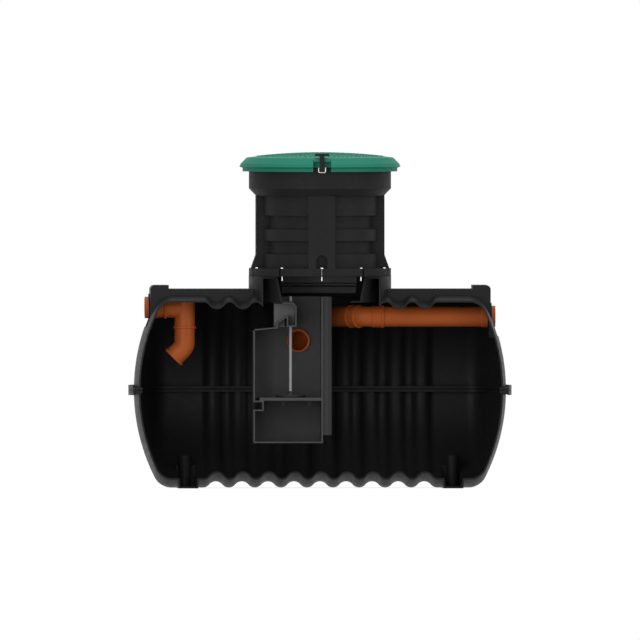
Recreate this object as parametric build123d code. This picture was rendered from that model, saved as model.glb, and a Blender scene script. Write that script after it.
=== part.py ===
from build123d import *
import os
from functools import cache
from math import cos, radians, sin, sqrt

# Cut-open septic tank: two moulded half shells, access neck, riser with a lift-off lid,
# inlet and outlet pipework, and a hanging clarifying unit with a lift valve.
# X runs along the tank to the outlet, -Y is the cut-open front, Z is up from the floor.

# Shared clearances
FIT_GAP = 0.3
ROD_GUIDE_GAP = 2.0

# Tank shells
TANK_RADIUS = 527.0
TANK_HALF_LENGTH = 1005.0
GROUND_GAP = 3.0
DOME_RADIUS = 1050.0
CORNER_RADIUS = 100.0
SHELL_WALL = 8.5
CUT_Y = -209.0
GROOVE_PITCH = 140.7
GROOVE_DEPTH = 33.0
GROOVE_MARGIN = 150.0
END_LENGTH = 364.85
TANK_AXIS_Z = GROUND_GAP + TANK_RADIUS
TANK_TOP_Z = TANK_AXIS_Z + TANK_RADIUS
DOME_X = TANK_HALF_LENGTH - DOME_RADIUS
CORNER_X = DOME_X + sqrt((DOME_RADIUS - CORNER_RADIUS) ** 2 - (TANK_RADIUS - CORNER_RADIUS) ** 2)
GROOVE_COUNT = int(2 * (CORNER_X - GROOVE_MARGIN) / GROOVE_PITCH)
END_X = TANK_HALF_LENGTH - END_LENGTH

# Joint flange between the half shells
FLANGE_REACH = 30.0
FLANGE_THICKNESS = 13.0
FLANGE_LIP_HEIGHT = 24.5
FLANGE_LIP_WALL = 7.0
LEDGE_DEPTH = 10.0
JOINT_GAP = 4.0
SEAL_INSET = 2.0
SEAL_WIDTH = 24.0

# Skid feet under the lower shell
SKID_SETBACK = 289.0
SKID_TOP_WIDTH = 126.0
SKID_BOTTOM_WIDTH = 106.0
SKID_HALF_LENGTH = 324.0
SKID_ROOT = 15.6
SKID_X = TANK_HALF_LENGTH - SKID_SETBACK
SKID_TOP_Z = TANK_AXIS_Z - sqrt(TANK_RADIUS ** 2 - SKID_HALF_LENGTH ** 2) + SKID_ROOT

# Posts standing in the skids
POST_SETBACK = 281.0
POST_Y = 259.0
POST_HEIGHT = 178.2
POST_TOP_RADIUS = 37.0
POST_BASE_RADIUS = 28.0
POST_CROWN_RADIUS = 25.9
POST_CROWN_HEIGHTS = [14.0, 4.9]
POST_X = TANK_HALF_LENGTH - POST_SETBACK

# Deck beam and end blocks on the roof
DECK_HALF_WIDTH = 127.0
DECK_RISE = 20.0
BLOCK_RISE = 20.0
BLOCK_LENGTH = 99.0
BLOCK_CORNER = 25.0
PAD_SETBACK = 86.0
PAD_DROP = 104.0
DECK_TOP_Z = TANK_TOP_Z + DECK_RISE
BLOCK_TOP_Z = DECK_TOP_Z + BLOCK_RISE
PAD_X = TANK_HALF_LENGTH - PAD_SETBACK
BLOCK_INNER_X = PAD_X - BLOCK_LENGTH

# Riser
RISER_FLANGE_RADIUS = 384.0
RISER_FLANGE_HEIGHT = 38.0
RISER_WIDE_RADIUS = 316.0
RISER_WAIST_RADIUS = 287.0
RISER_RIB_RADIUS = 347.0
RISER_RIB_WIDTH = 145.0
RISER_WALL = 8.0
RISER_FLANGE_TOP_WALL = 10.0
RIB_FOOT_SETBACK = 11.0
RIB_FOOT_HEIGHT = 111.0
BAND_HEIGHTS = [115.0, 187.0, 249.0, 323.0]
RIB_TOP_HEIGHT = 430.0
COLLAR_HEIGHT = 469.0
RISER_HEIGHT = 585.0
COLLAR_RADIUS = 384.0
ARCH_WIDTH = 60.0
ARCH_FLOOR_RADIUS = 330.0
RISER_RIB_FOOT_RADIUS = RISER_FLANGE_RADIUS - RIB_FOOT_SETBACK

# Access neck and the funnel hung in it
NECK_RISE = 88.0
NECK_EDGE = 1.0
NECK_TOP_THICKNESS = 12.0
NECK_BORE_GAP = 10.0
GASKET_THICKNESS = 5.0
GASKET_WIDTH = 34.0
FUNNEL_GAP = 2.0
FUNNEL_WALL = 8.0
FUNNEL_TAPER = 18.0
FUNNEL_DEPTH = 114.0
LEDGE_DROP = 141.0
LEDGE_WIDTH = 35.0
LEDGE_THICKNESS = 8.0
NECK_RADIUS = RISER_FLANGE_RADIUS + NECK_EDGE
NECK_TOP_Z = TANK_TOP_Z + NECK_RISE
NECK_BORE_RADIUS = RISER_WIDE_RADIUS + NECK_BORE_GAP
FUNNEL_TOP_RADIUS = NECK_BORE_RADIUS - FUNNEL_GAP - FUNNEL_WALL
FUNNEL_BOTTOM_RADIUS = FUNNEL_TOP_RADIUS - FUNNEL_TAPER
FUNNEL_FLANGE_RADIUS = RISER_FLANGE_RADIUS - GASKET_WIDTH
FUNNEL_BOTTOM_Z = NECK_TOP_Z - FUNNEL_DEPTH
LEDGE_BOTTOM_Z = NECK_TOP_Z - LEDGE_DROP
RISER_BASE_Z = NECK_TOP_Z + GASKET_THICKNESS
COLLAR_TOP_Z = RISER_BASE_Z + RISER_HEIGHT

# Flange screws
SCREW_COUNT = 10
SCREW_SETBACK = 22.0
SCREW_RADIUS = 4.0
SCREW_HEAD_RADIUS = 8.0
SCREW_HEAD_HEIGHT = 5.0
SCREW_LENGTH = 66.0
SCREW_BOSS_RADIUS = 13.0
SCREW_CIRCLE_RADIUS = RISER_FLANGE_RADIUS - SCREW_SETBACK

# Lid
LID_SKIRT_GAP = 34.0
LID_RIM_REACH = 17.0
LID_SKIRT_DEPTH = 24.0
LID_RISE = 76.0
LID_DOME_RADIUS = 3100.0
LID_WALL = 8.0
LID_EDGE_HEIGHT = 7.0
LID_BEVEL_HEIGHT = 49.0
LID_CROWN_WIDTH = 13.0
LID_SEAT_WIDTH = 12.0
LID_SEAT_HEIGHT = 46.0
LID_NOTCH_WIDTH = 97.0
LID_NOTCH_DEPTH = 34.0
LID_SKIRT_RADIUS = COLLAR_RADIUS + LID_SKIRT_GAP
LID_RIM_RADIUS = LID_SKIRT_RADIUS + LID_RIM_REACH
LID_DOME_EDGE = COLLAR_RADIUS - 1
LID_BOTTOM_Z = COLLAR_TOP_Z - LID_SKIRT_DEPTH
LID_RIM_Z = COLLAR_TOP_Z + 1
LID_TOP_Z = COLLAR_TOP_Z + LID_RISE

# Strap latch on the lid
STRAP_WIDTH = 25.0
STRAP_THICKNESS = 9.0
STRAP_BAR_WIDTH = 76.0
STRAP_BAR_HEIGHTS = [6.0, 8.0]
STRAP_BAR_REACH = 12.0
STRAP_SETBACK = 9.0
STRAP_LIP = 1.0
BAIL_WIRE_RADIUS = 3.0
BAIL_HEIGHT = 26.0

# Pipework
PIPE_RADIUS = 55.0
PIPE_WALL = 3.2
SOCKET_CLEARANCE = 0.3
SOCKET_DEPTH = 70.0
SOCKET_NECK_LENGTH = 77.0
SOCKET_BEAD = 7.0
BEAD_HALF_WIDTH = 7.0
BEAD_ROUND = 2.0
BEAD_ROOT = 1.0
SOCKET_CHAMFER = 1.5
SOCKET_SHOULDER = 8.0
STUB_REACH = 28.0
INLET_DROP = 81.5
PIPE_FALL = 49.5
TEE_REACH = 188.0
TEE_RISE = 69.5
TEE_DEPTH = 113.5
DIP_DEPTH = 209.5
DIP_MOUTH_REACH = 89.0
DIP_BEND_GAP = 6.0
OUTLET_JOINT_X = 345.0
OUTLET_BEND_X = 240.0
OUTLET_BEND_RADIUS = 80.0
OUTLET_REAR_X = 70.0
OUTLET_REAR_Y = 200.0
OUTLET_REAR_DROP = 73.0
OUTLET_SPLIT = 0.78
CONNECTOR_BEND_GAP = 4.0
MOUTH_REACH = 20.0
SEAL_LIP_RADIUS = 76.0
SEAL_LIP_THICKNESS = 8.0
SEAL_SHOULDER = 6.0
SEAL_HOLE_RADIUS = 64.0
SOCKET_BORE_RADIUS = PIPE_RADIUS + SOCKET_CLEARANCE
SOCKET_RADIUS = SOCKET_BORE_RADIUS + PIPE_WALL
INLET_Z = TANK_TOP_Z - INLET_DROP
OUTLET_Z = INLET_Z - PIPE_FALL
INLET_DROP_X = TEE_REACH - PAD_X
TEE_BOTTOM_Z = INLET_Z - TEE_DEPTH
SOCKET_END_X = PAD_X - SOCKET_NECK_LENGTH

# Hanging clarifying unit
UNIT_LEFT_X = -365.0
UNIT_RIGHT_X = 10.4
UNIT_BACK_Y = 75.0
UNIT_FLOOR_HEIGHT = 242.0
UNIT_TOP_DROP = 111.0
UNIT_LEFT_DROP = 181.0
UNIT_SHOULDER_X = -250.0
UNIT_WALL = 8.0
UNIT_CORNER_RADIUS = 120.0
UNIT_NOTCH_FLOOR = 181.0
UNIT_NOTCH_HEIGHT = 40.0
UNIT_NOTCH_DEPTH = 48.0
UNIT_MOUTH_X = -115.0
UNIT_MOUTH_DROP = 131.0
UNIT_BOTTOM_Z = GROUND_GAP + UNIT_FLOOR_HEIGHT
UNIT_RIGHT_TOP_Z = NECK_TOP_Z - UNIT_TOP_DROP
UNIT_LEFT_TOP_Z = UNIT_RIGHT_TOP_Z - UNIT_LEFT_DROP
UNIT_NOTCH_LOW_Z = UNIT_BOTTOM_Z + UNIT_NOTCH_FLOOR
UNIT_NOTCH_TOP_Z = UNIT_NOTCH_LOW_Z + UNIT_NOTCH_HEIGHT
UNIT_MOUTH_Z = OUTLET_Z - UNIT_MOUTH_DROP

# Side duct on the unit's right wall
DUCT_WIDTH = 48.6
DUCT_FLOOR_RISE = 43.0
DUCT_FRONT_Y = -160.0
DUCT_CHAMFER_X = 22.0
DUCT_CHAMFER_Y = 30.0
DUCT_WALL = 6.0

# Hood over the pull rod, and the cover beside it
HOOD_LEFT_X = -208.0
HOOD_RIGHT_X = -135.0
HOOD_LIP_X = -183.0
HOOD_DROP = 126.0
COVER_FOOT_X = -240.0
COVER_TIP_X = -190.0
COVER_THROAT_X = -232.0
COVER_HEIGHTS = [18.0, 25.0, 31.0, 27.0, 47.0, 69.0, 77.0, 52.0, 26.0, 8.0]

# Lift valve
ROD_X = -161.0
ROD_Y = -75.0
ROD_RADIUS = 8.0
ROD_RISE = 32.0
ROD_HOLE_LENGTH = 400.0
DISC_RADIUS = 83.5
DISC_THICKNESS = 6.0
DISC_CONE_RADIUS = 24.0
DISC_CONE_HEIGHT = 22.0
VALVE_SEAL_THICKNESS = 6.0
VALVE_SEAL_WIDTH = 10.0
VALVE_SEAL_SETBACK = 4.0

# Divider plate
PLATE_THICKNESS = 16.0
PLATE_SETBACK = 34.0
PLATE_BORE_SETBACK = 18.0
PLATE_LOW_Z = UNIT_NOTCH_TOP_Z + UNIT_WALL
PLATE_TOP_Z = PLATE_LOW_Z + PLATE_THICKNESS
DISC_LOW_Z = PLATE_TOP_Z + VALVE_SEAL_THICKNESS + FIT_GAP
DISC_TOP_Z = DISC_LOW_Z + DISC_THICKNESS + DISC_CONE_HEIGHT

# The row's origin is under the middle of the whole object's box
FRONT_REACH = sqrt(LID_RIM_RADIUS ** 2 - LID_NOTCH_WIDTH ** 2 / 4)
BACK_REACH = TANK_RADIUS + FLANGE_REACH
FRAME = Pos(0, (FRONT_REACH - BACK_REACH) / 2, 0)

# Length that runs past any part, for cutting blocks
FAR = 4 * TANK_HALF_LENGTH


# Forms shared by several pieces

def block(x_low, x_high, y_low, y_high, z_low, z_high):
    """Box between two corners."""
    box = Box(x_high - x_low, y_high - y_low, z_high - z_low)
    return Pos((x_low + x_high) / 2, (y_low + y_high) / 2, (z_low + z_high) / 2) * box


def keep_behind_cut():
    """Block that holds everything behind the cut plane."""
    return block(-FAR, FAR, CUT_Y, FAR, -FAR, FAR)


def revolved(points):
    """Ring or cup from an outline of (radius, z) points round the Z axis."""
    return revolve(make_face(Plane.XZ * Polyline(*points, close=True)), Axis.Z)


def prism_y(face, y_low, y_high):
    """Prism along Y from a face drawn as (x, z)."""
    return Pos(0, y_low, 0) * extrude(Plane.XZ * face, y_high - y_low, dir=(0, 1, 0))


def outline_face(points):
    return make_face(Polyline(*points, close=True))


def upright_cylinder(radius, z_low, z_high):
    return Pos(0, 0, (z_low + z_high) / 2) * Cylinder(radius, z_high - z_low)


def bar_x(x_low, x_high, z, radius):
    """Round bar along X."""
    return Pos((x_low + x_high) / 2, 0, z) * Rot(0, 90, 0) * Cylinder(radius, x_high - x_low)


# Tank body

def wall_plan(end_offset, side_offset, corner_offset):
    """Closed plan outline at the joint: domed ends with rounded corners, offset from the tank's wall."""
    dome = DOME_RADIUS + end_offset
    face = Rectangle(2 * FAR, 2 * (TANK_RADIUS + side_offset))
    for side in (-1, 1):
        middle = Pos(side * (DOME_X - FAR / 2), 0) * Rectangle(FAR, 2 * dome)
        face = face & (Pos(side * DOME_X, 0) * Circle(dome) + middle)
    return fillet(face.vertices(), CORNER_RADIUS + corner_offset)


def arc_between(centre, start, end, radius):
    """Arc from start to end round a centre, on the shorter side."""
    middle = (Vector(*start) + Vector(*end)) * 0.5 - Vector(*centre)
    return ThreePointArc(start, Vector(*centre) + middle.normalized() * radius, end)


def wave_edges(inset):
    """Grooved stretch of the tank wall, as tangent arcs from left to right."""
    crest = TANK_RADIUS - inset
    quarter = GROOVE_PITCH / 4
    bend = (quarter ** 2 + GROOVE_DEPTH ** 2 / 4) / GROOVE_DEPTH
    share = (bend - inset) / bend
    side_x = quarter * share
    side_y = TANK_RADIUS - bend + (bend - GROOVE_DEPTH / 2) * share
    start_x = -GROOVE_COUNT * GROOVE_PITCH / 2
    here = (start_x, crest)
    edges = []
    for index in range(GROOVE_COUNT):
        crest_x = start_x + index * GROOVE_PITCH
        left = (crest_x + side_x, side_y)
        right = (crest_x + GROOVE_PITCH - side_x, side_y)
        edges.append(arc_between((crest_x, TANK_RADIUS - bend), here, left, bend - inset))
        edges.append(ThreePointArc(left, (crest_x + GROOVE_PITCH / 2, crest - GROOVE_DEPTH), right))
        here = right
    edges.append(arc_between((-start_x, TANK_RADIUS - bend), here, (-start_x, crest), bend - inset))
    return edges


def tank_body(inset):
    """Grooved tank form, shrunk by an inset, as a full turn round its long axis."""
    half_length, radius = TANK_HALF_LENGTH - inset, TANK_RADIUS - inset
    dome, corner = DOME_RADIUS - inset, CORNER_RADIUS - inset
    share = dome / (dome - corner)
    meet = (DOME_X + (CORNER_X - DOME_X) * share, (radius - corner) * share)
    edges = wave_edges(inset)
    for side in (-1, 1):
        tip, join = (side * half_length, 0), (side * meet[0], meet[1])
        flat, groove_end = (side * CORNER_X, radius), (side * GROOVE_COUNT * GROOVE_PITCH / 2, radius)
        edges.append(arc_between((side * DOME_X, 0), tip, join, dome))
        edges.append(arc_between((side * CORNER_X, radius - corner), join, flat, corner))
        edges.append(Line(flat, groove_end))
    edges.append(Line((-half_length, 0), (half_length, 0)))
    return Pos(0, 0, TANK_AXIS_Z) * revolve(make_face(Curve() + edges), Axis.X)


def joint_flange(side):
    """Flange of one half shell with its stiffening lip; side is 1 above the joint."""
    near = TANK_AXIS_Z + side * JOINT_GAP / 2
    lip_offset, ledge_offset = FLANGE_REACH - FLANGE_LIP_WALL, -SHELL_WALL - LEDGE_DEPTH
    reach = wall_plan(FLANGE_REACH, FLANGE_REACH, FLANGE_REACH)
    ledge = wall_plan(ledge_offset, ledge_offset - GROOVE_DEPTH, -SHELL_WALL)
    lip_inside = wall_plan(lip_offset, lip_offset, lip_offset)
    plate = extrude(reach - ledge, FLANGE_THICKNESS, dir=(0, 0, side))
    lip = extrude(reach - lip_inside, FLANGE_LIP_HEIGHT, dir=(0, 0, side))
    return Pos(0, 0, near) * (plate + lip)


def make_joint_seal():
    outer = FLANGE_REACH - SEAL_INSET
    inner = outer - SEAL_WIDTH
    ring = wall_plan(outer, outer, outer) - wall_plan(inner, inner, inner)
    return Pos(0, 0, TANK_AXIS_Z - JOINT_GAP / 2) * extrude(ring, JOINT_GAP, dir=(0, 0, 1))


def skid_form(inset):
    """Both tapered skids; the inset form is the pocket inside them."""
    top, bottom = SKID_TOP_WIDTH / 2 - inset, SKID_BOTTOM_WIDTH / 2 - inset
    outline = outline_face([(-bottom, inset), (bottom, inset), (top, SKID_TOP_Z), (-top, SKID_TOP_Z)])
    skid = prism_y(outline, inset - SKID_HALF_LENGTH, SKID_HALF_LENGTH - inset)
    return Pos(-SKID_X, 0, 0) * skid + Pos(SKID_X, 0, 0) * skid


@cache
def whole_lower_shell():
    below = block(-FAR, FAR, -FAR, FAR, -FAR, TANK_AXIS_Z - JOINT_GAP / 2)
    shell = (tank_body(0) + skid_form(0)) - (tank_body(SHELL_WALL) + skid_form(SHELL_WALL))
    return (shell & below) + joint_flange(-1)


def left_end():
    """Block that holds the tank's inlet end."""
    return block(-FAR, -END_X, -FAR, FAR, -FAR, FAR)


def right_end():
    """Block that holds the tank's outlet end."""
    return block(END_X, FAR, -FAR, FAR, -FAR, FAR)


def middle_stretch():
    return block(-END_X, END_X, -FAR, FAR, -FAR, FAR)


def make_lower_shell():
    return whole_lower_shell() & middle_stretch()


def make_lower_left_end():
    return whole_lower_shell() & left_end()


def make_lower_right_end():
    return whole_lower_shell() & right_end()


def deck_form(inset):
    """Deck beam with its two end blocks; the inset form is the space inside."""
    pad, top = PAD_X - inset, BLOCK_TOP_Z - inset
    step, deck = BLOCK_INNER_X + inset, DECK_TOP_Z - inset
    face = outline_face([(pad, TANK_AXIS_Z), (pad, top), (step, top), (step, deck),
                         (-step, deck), (-step, top), (-pad, top), (-pad, TANK_AXIS_Z)])
    corners = [v for v in face.vertices() if abs(v.X) > step + 1 and v.Y > top - 1]
    face = fillet(corners, BLOCK_CORNER - inset)
    return prism_y(face, inset - DECK_HALF_WIDTH, DECK_HALF_WIDTH - inset)


def pad_recess(side, pipe_z, grow):
    """Space outside the flat pad where a pipe enters a domed end."""
    half = DECK_HALF_WIDTH + grow
    recess = block(PAD_X - grow, FAR, -half, half, pipe_z - PAD_DROP - grow, FAR)
    return recess if side > 0 else Rot(0, 0, 180) * recess


@cache
def whole_upper_shell():
    above = block(-FAR, FAR, -FAR, FAR, TANK_AXIS_Z + JOINT_GAP / 2, FAR)
    outside = tank_body(0) + deck_form(0) + upright_cylinder(NECK_RADIUS, TANK_AXIS_Z, NECK_TOP_Z)
    inside = tank_body(SHELL_WALL) + deck_form(SHELL_WALL)
    inside += upright_cylinder(NECK_RADIUS - SHELL_WALL, TANK_AXIS_Z, NECK_TOP_Z - NECK_TOP_THICKNESS)
    for side, pipe_z in ((-1, INLET_Z), (1, OUTLET_Z)):
        outside -= pad_recess(side, pipe_z, 0)
        inside -= pad_recess(side, pipe_z, SHELL_WALL)
    shell = (outside - inside) & above
    for side, pipe_z in ((-1, INLET_Z), (1, OUTLET_Z)):
        pad = sorted((side * (PAD_X - 2 * SHELL_WALL), side * (PAD_X + SHELL_WALL)))
        shell -= bar_x(*pad, pipe_z, SEAL_HOLE_RADIUS)
    return shell + joint_flange(1)


def neck_space():
    """Upright cylinder that holds the neck, from above the joint flange up."""
    return upright_cylinder(NECK_RADIUS, TANK_AXIS_Z + 2 * FLANGE_LIP_HEIGHT, FAR)


def make_upper_shell():
    return (whole_upper_shell() & middle_stretch()) - neck_space()


def make_upper_left_end():
    return whole_upper_shell() & left_end()


def make_upper_right_end():
    return whole_upper_shell() & right_end()


def make_neck():
    """Neck with a flat top, bored for the funnel and drilled for the screws."""
    neck = whole_upper_shell() & neck_space()
    neck -= upright_cylinder(NECK_BORE_RADIUS, NECK_TOP_Z - 2 * NECK_TOP_THICKNESS, FAR)
    return neck - screw_holes(NECK_TOP_Z - 2 * NECK_TOP_THICKNESS, FAR)


def make_floor_post(side):
    base = SHELL_WALL + FIT_GAP
    top = base + POST_HEIGHT
    shoulder, crown = POST_CROWN_HEIGHTS
    outline = [(0, base), (POST_BASE_RADIUS, base), (POST_TOP_RADIUS, top - shoulder),
               (POST_CROWN_RADIUS, top - crown), (0, top)]
    return Pos(side * POST_X, POST_Y, 0) * revolved(outline)


# Neck and riser

def screw_places():
    turns = [radians(-90 + 360 * index / SCREW_COUNT) for index in range(SCREW_COUNT)]
    return [Pos(SCREW_CIRCLE_RADIUS * cos(turn), SCREW_CIRCLE_RADIUS * sin(turn), 0) for turn in turns]


def screw_holes(z_low, z_high):
    hole = upright_cylinder(SCREW_RADIUS + FIT_GAP, z_low, z_high)
    return Compound([place * hole for place in screw_places()])


def make_neck_funnel():
    """Funnel hung on the neck by its flange, with a ledge on each side of its foot."""
    under, top = NECK_TOP_Z, NECK_TOP_Z + GASKET_THICKNESS
    foot = FUNNEL_BOTTOM_RADIUS + FUNNEL_WALL
    ring = revolved([(FUNNEL_TOP_RADIUS, top), (FUNNEL_FLANGE_RADIUS, top), (FUNNEL_FLANGE_RADIUS, under),
                     (FUNNEL_TOP_RADIUS + FUNNEL_WALL, under), (foot, FUNNEL_BOTTOM_Z),
                     (FUNNEL_BOTTOM_RADIUS, FUNNEL_BOTTOM_Z)])
    inner, ledge_top = FUNNEL_BOTTOM_RADIUS - LEDGE_WIDTH, LEDGE_BOTTOM_Z + LEDGE_THICKNESS
    ledge = revolved([(inner, LEDGE_BOTTOM_Z), (foot, LEDGE_BOTTOM_Z), (foot, FUNNEL_BOTTOM_Z),
                      (FUNNEL_BOTTOM_RADIUS, FUNNEL_BOTTOM_Z), (FUNNEL_BOTTOM_RADIUS, ledge_top),
                      (inner, ledge_top)])
    return ring + (ledge & block(-FAR, FAR, CUT_Y, -CUT_Y, -FAR, FAR))


def make_neck_gasket():
    low, high = NECK_TOP_Z, NECK_TOP_Z + GASKET_THICKNESS
    inner = FUNNEL_FLANGE_RADIUS + FIT_GAP
    ring = revolved([(inner, low), (RISER_FLANGE_RADIUS, low), (RISER_FLANGE_RADIUS, high), (inner, high)])
    return ring - screw_holes(low - GASKET_THICKNESS, high + GASKET_THICKNESS)


def riser_outline(inset):
    """(radius, z) outline of the riser's round wall, shrunk by an inset."""
    wide, waist = RISER_WIDE_RADIUS - inset, RISER_WAIST_RADIUS - inset
    low1, low2, mid1, mid2 = [RISER_BASE_Z + height for height in BAND_HEIGHTS]
    rib_top, collar_z = RISER_BASE_Z + RIB_TOP_HEIGHT, RISER_BASE_Z + COLLAR_HEIGHT
    return [(0, RISER_BASE_Z), (wide, RISER_BASE_Z), (wide, low1 - inset), (waist, low1 + inset),
            (waist, low2 - inset), (wide, low2 + inset), (wide, mid1 - inset), (waist, mid1 + inset),
            (waist, mid2 - inset), (wide, mid2 + inset), (wide, rib_top),
            (RISER_RIB_RADIUS - inset, rib_top + inset), (COLLAR_RADIUS - inset, collar_z),
            (COLLAR_RADIUS - inset, COLLAR_TOP_Z), (0, COLLAR_TOP_Z)]


def rib_form(inset):
    """Four upright ribs that flare out to the base flange; the inset form hollows them."""
    base, core = RISER_BASE_Z + RISER_FLANGE_HEIGHT, RISER_WAIST_RADIUS / 2
    foot, face = RISER_RIB_FOOT_RADIUS - inset, RISER_RIB_RADIUS - inset
    top = RISER_BASE_Z + RIB_TOP_HEIGHT + inset
    outline = outline_face([(core, base), (foot, base), (face, RISER_BASE_Z + RIB_FOOT_HEIGHT),
                            (face, top), (core, top)])
    rib = prism_y(outline, inset - RISER_RIB_WIDTH / 2, RISER_RIB_WIDTH / 2 - inset)
    ribs = rib
    for turn in (90, 180, 270):
        ribs += Rot(0, 0, turn) * rib
    return ribs


def arch_pockets(grow):
    """Arched recesses at the feet of the front and rear ribs, where a screw stands."""
    low = RISER_BASE_Z + RISER_FLANGE_HEIGHT - grow
    half = ARCH_WIDTH / 2 + grow
    spring = RISER_BASE_Z + RIB_FOOT_HEIGHT - ARCH_WIDTH / 2
    face = Pos(0, (low + spring) / 2) * Rectangle(2 * half, spring - low) + Pos(0, spring) * Circle(half)
    pocket = prism_y(face, -RISER_FLANGE_RADIUS, grow - ARCH_FLOOR_RADIUS)
    return pocket + Rot(0, 0, 180) * pocket


def make_riser():
    flange_top = RISER_BASE_Z + RISER_FLANGE_HEIGHT
    flange = upright_cylinder(RISER_FLANGE_RADIUS, RISER_BASE_Z, flange_top)
    outside = revolved(riser_outline(0)) + rib_form(0) + flange - arch_pockets(0)
    hollow = revolved(riser_outline(RISER_WALL)) + (rib_form(RISER_WALL) - arch_pockets(RISER_WALL))
    inner, outer = RISER_WIDE_RADIUS + RISER_WALL, RISER_FLANGE_RADIUS - RISER_WALL
    low, high = RISER_BASE_Z - RISER_WALL, flange_top - RISER_FLANGE_TOP_WALL
    under = revolved([(inner, low), (outer, low), (outer, high), (inner, high)])
    boss = upright_cylinder(SCREW_BOSS_RADIUS, low, flange_top)
    riser = outside - hollow - (under - Compound([place * boss for place in screw_places()]))
    return riser - screw_holes(low, flange_top + RISER_WALL)


def make_flange_screws():
    top = RISER_BASE_Z + RISER_FLANGE_HEIGHT
    screw = upright_cylinder(SCREW_RADIUS, top - SCREW_LENGTH, top)
    screw += upright_cylinder(SCREW_HEAD_RADIUS, top, top + SCREW_HEAD_HEIGHT)
    return Compound([place * screw for place in screw_places()])


# Lid and latch

def dome_z(radius, inset):
    """Height of the lid's dome at a radius from its middle."""
    return LID_TOP_Z - LID_DOME_RADIUS + sqrt((LID_DOME_RADIUS - inset) ** 2 - radius ** 2)


def lid_cap(inset, low):
    """Solid cap under the lid's dome and bevelled rim, shrunk by an inset."""
    edge, skirt, rim = LID_DOME_EDGE - inset, LID_SKIRT_RADIUS - inset, LID_RIM_RADIUS - inset
    side = Polyline((0, low), (skirt, low), (skirt, LID_RIM_Z - LID_EDGE_HEIGHT), (rim, LID_RIM_Z),
                    (rim - LID_EDGE_HEIGHT, LID_RIM_Z + LID_RIM_REACH),
                    (edge + LID_CROWN_WIDTH, LID_RIM_Z + LID_BEVEL_HEIGHT - inset),
                    (edge, dome_z(edge, inset)))
    dome = ThreePointArc((edge, dome_z(edge, inset)), (edge / 2, dome_z(edge / 2, inset)),
                         (0, dome_z(0, inset)))
    axis = Line((0, dome_z(0, inset)), (0, low))
    return revolve(make_face(Plane.XZ * (Curve() + [side, dome, axis])), Axis.Z)


def make_lid():
    """Domed lid with a seat ring inside and a notch for the latch."""
    lid = lid_cap(0, LID_BOTTOM_Z) - lid_cap(LID_WALL, LID_BOTTOM_Z - LID_WALL)
    seat_low, seat_high = COLLAR_TOP_Z + FIT_GAP, LID_RIM_Z + LID_SEAT_HEIGHT
    inner = COLLAR_RADIUS - LID_SEAT_WIDTH
    lid += revolved([(inner, seat_low), (COLLAR_RADIUS, seat_low), (COLLAR_RADIUS, seat_high),
                     (inner, seat_high)])
    half = LID_NOTCH_WIDTH / 2
    return lid - block(-half, half, -FAR, LID_NOTCH_DEPTH - LID_RIM_RADIUS, -FAR, FAR)


def latch_faces():
    """Front and rear faces of the strap, in front of the notch's floor."""
    rear = LID_NOTCH_DEPTH - LID_RIM_RADIUS - FIT_GAP
    return rear - STRAP_THICKNESS, rear


def make_lid_latch():
    """T-shaped rubber strap that hangs down the notch, with its bar over the lid's edge."""
    front, rear = latch_faces()
    half, bar_half = STRAP_WIDTH / 2, STRAP_BAR_WIDTH / 2
    below, above = STRAP_BAR_HEIGHTS
    top = LID_TOP_Z - STRAP_SETBACK
    strap = block(-half, half, front, rear, LID_BOTTOM_Z + STRAP_LIP, top)
    bar_rear = rear + FIT_GAP + STRAP_BAR_REACH
    return strap + block(-bar_half, bar_half, front, bar_rear, top - below, top + above)


def make_latch_bail():
    """Square wire loop round the strap's lower end."""
    front, rear = latch_faces()
    side_x = STRAP_WIDTH / 2 + BAIL_WIRE_RADIUS + FIT_GAP
    low = LID_BOTTOM_Z + STRAP_LIP - BAIL_WIRE_RADIUS - FIT_GAP
    side = upright_cylinder(BAIL_WIRE_RADIUS, low, low + BAIL_HEIGHT)
    bail = Pos(-side_x, 0, 0) * side + Pos(side_x, 0, 0) * side
    bail += bar_x(-side_x, side_x, low, BAIL_WIRE_RADIUS)
    return Pos(0, (front + rear) / 2, 0) * bail


# Pipework

def bent_tube(points, bend):
    """Drain pipe along straight runs joined by arcs."""
    path = FilletPolyline(*points, radius=bend)
    start = Plane(origin=path @ 0, z_dir=path % 0)
    return sweep(start * Circle(PIPE_RADIUS), path) - sweep(start * Circle(PIPE_RADIUS - PIPE_WALL), path)


def bead_ring(radius):
    """Rounded socket bead round a pipe of the given radius, fused to its wall."""
    root, outer, half = radius - BEAD_ROOT, radius + SOCKET_BEAD, BEAD_HALF_WIDTH
    return revolved([(root, -half), (outer - BEAD_ROUND, -half), (outer, BEAD_ROUND - half),
                     (outer, half - BEAD_ROUND), (outer - BEAD_ROUND, half), (root, half)])


def make_wall_seal(side, pipe_z):
    """Flanged rubber ring between a socket and its hole in the flat pad."""
    face, back = PAD_X, PAD_X - SHELL_WALL
    inner, shoulder = SOCKET_RADIUS + FIT_GAP, SEAL_HOLE_RADIUS + SEAL_SHOULDER
    outline = [(inner, back - SEAL_SHOULDER), (shoulder, back - SEAL_SHOULDER), (shoulder, back),
               (SEAL_HOLE_RADIUS - FIT_GAP, back), (SEAL_HOLE_RADIUS - FIT_GAP, face),
               (SEAL_LIP_RADIUS, face),
               (SEAL_LIP_RADIUS - SEAL_LIP_THICKNESS / 4, face + SEAL_LIP_THICKNESS),
               (inner, face + SEAL_LIP_THICKNESS)]
    return Pos(0, 0, pipe_z) * Rot(0, side * 90, 0) * revolved(outline)


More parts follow.
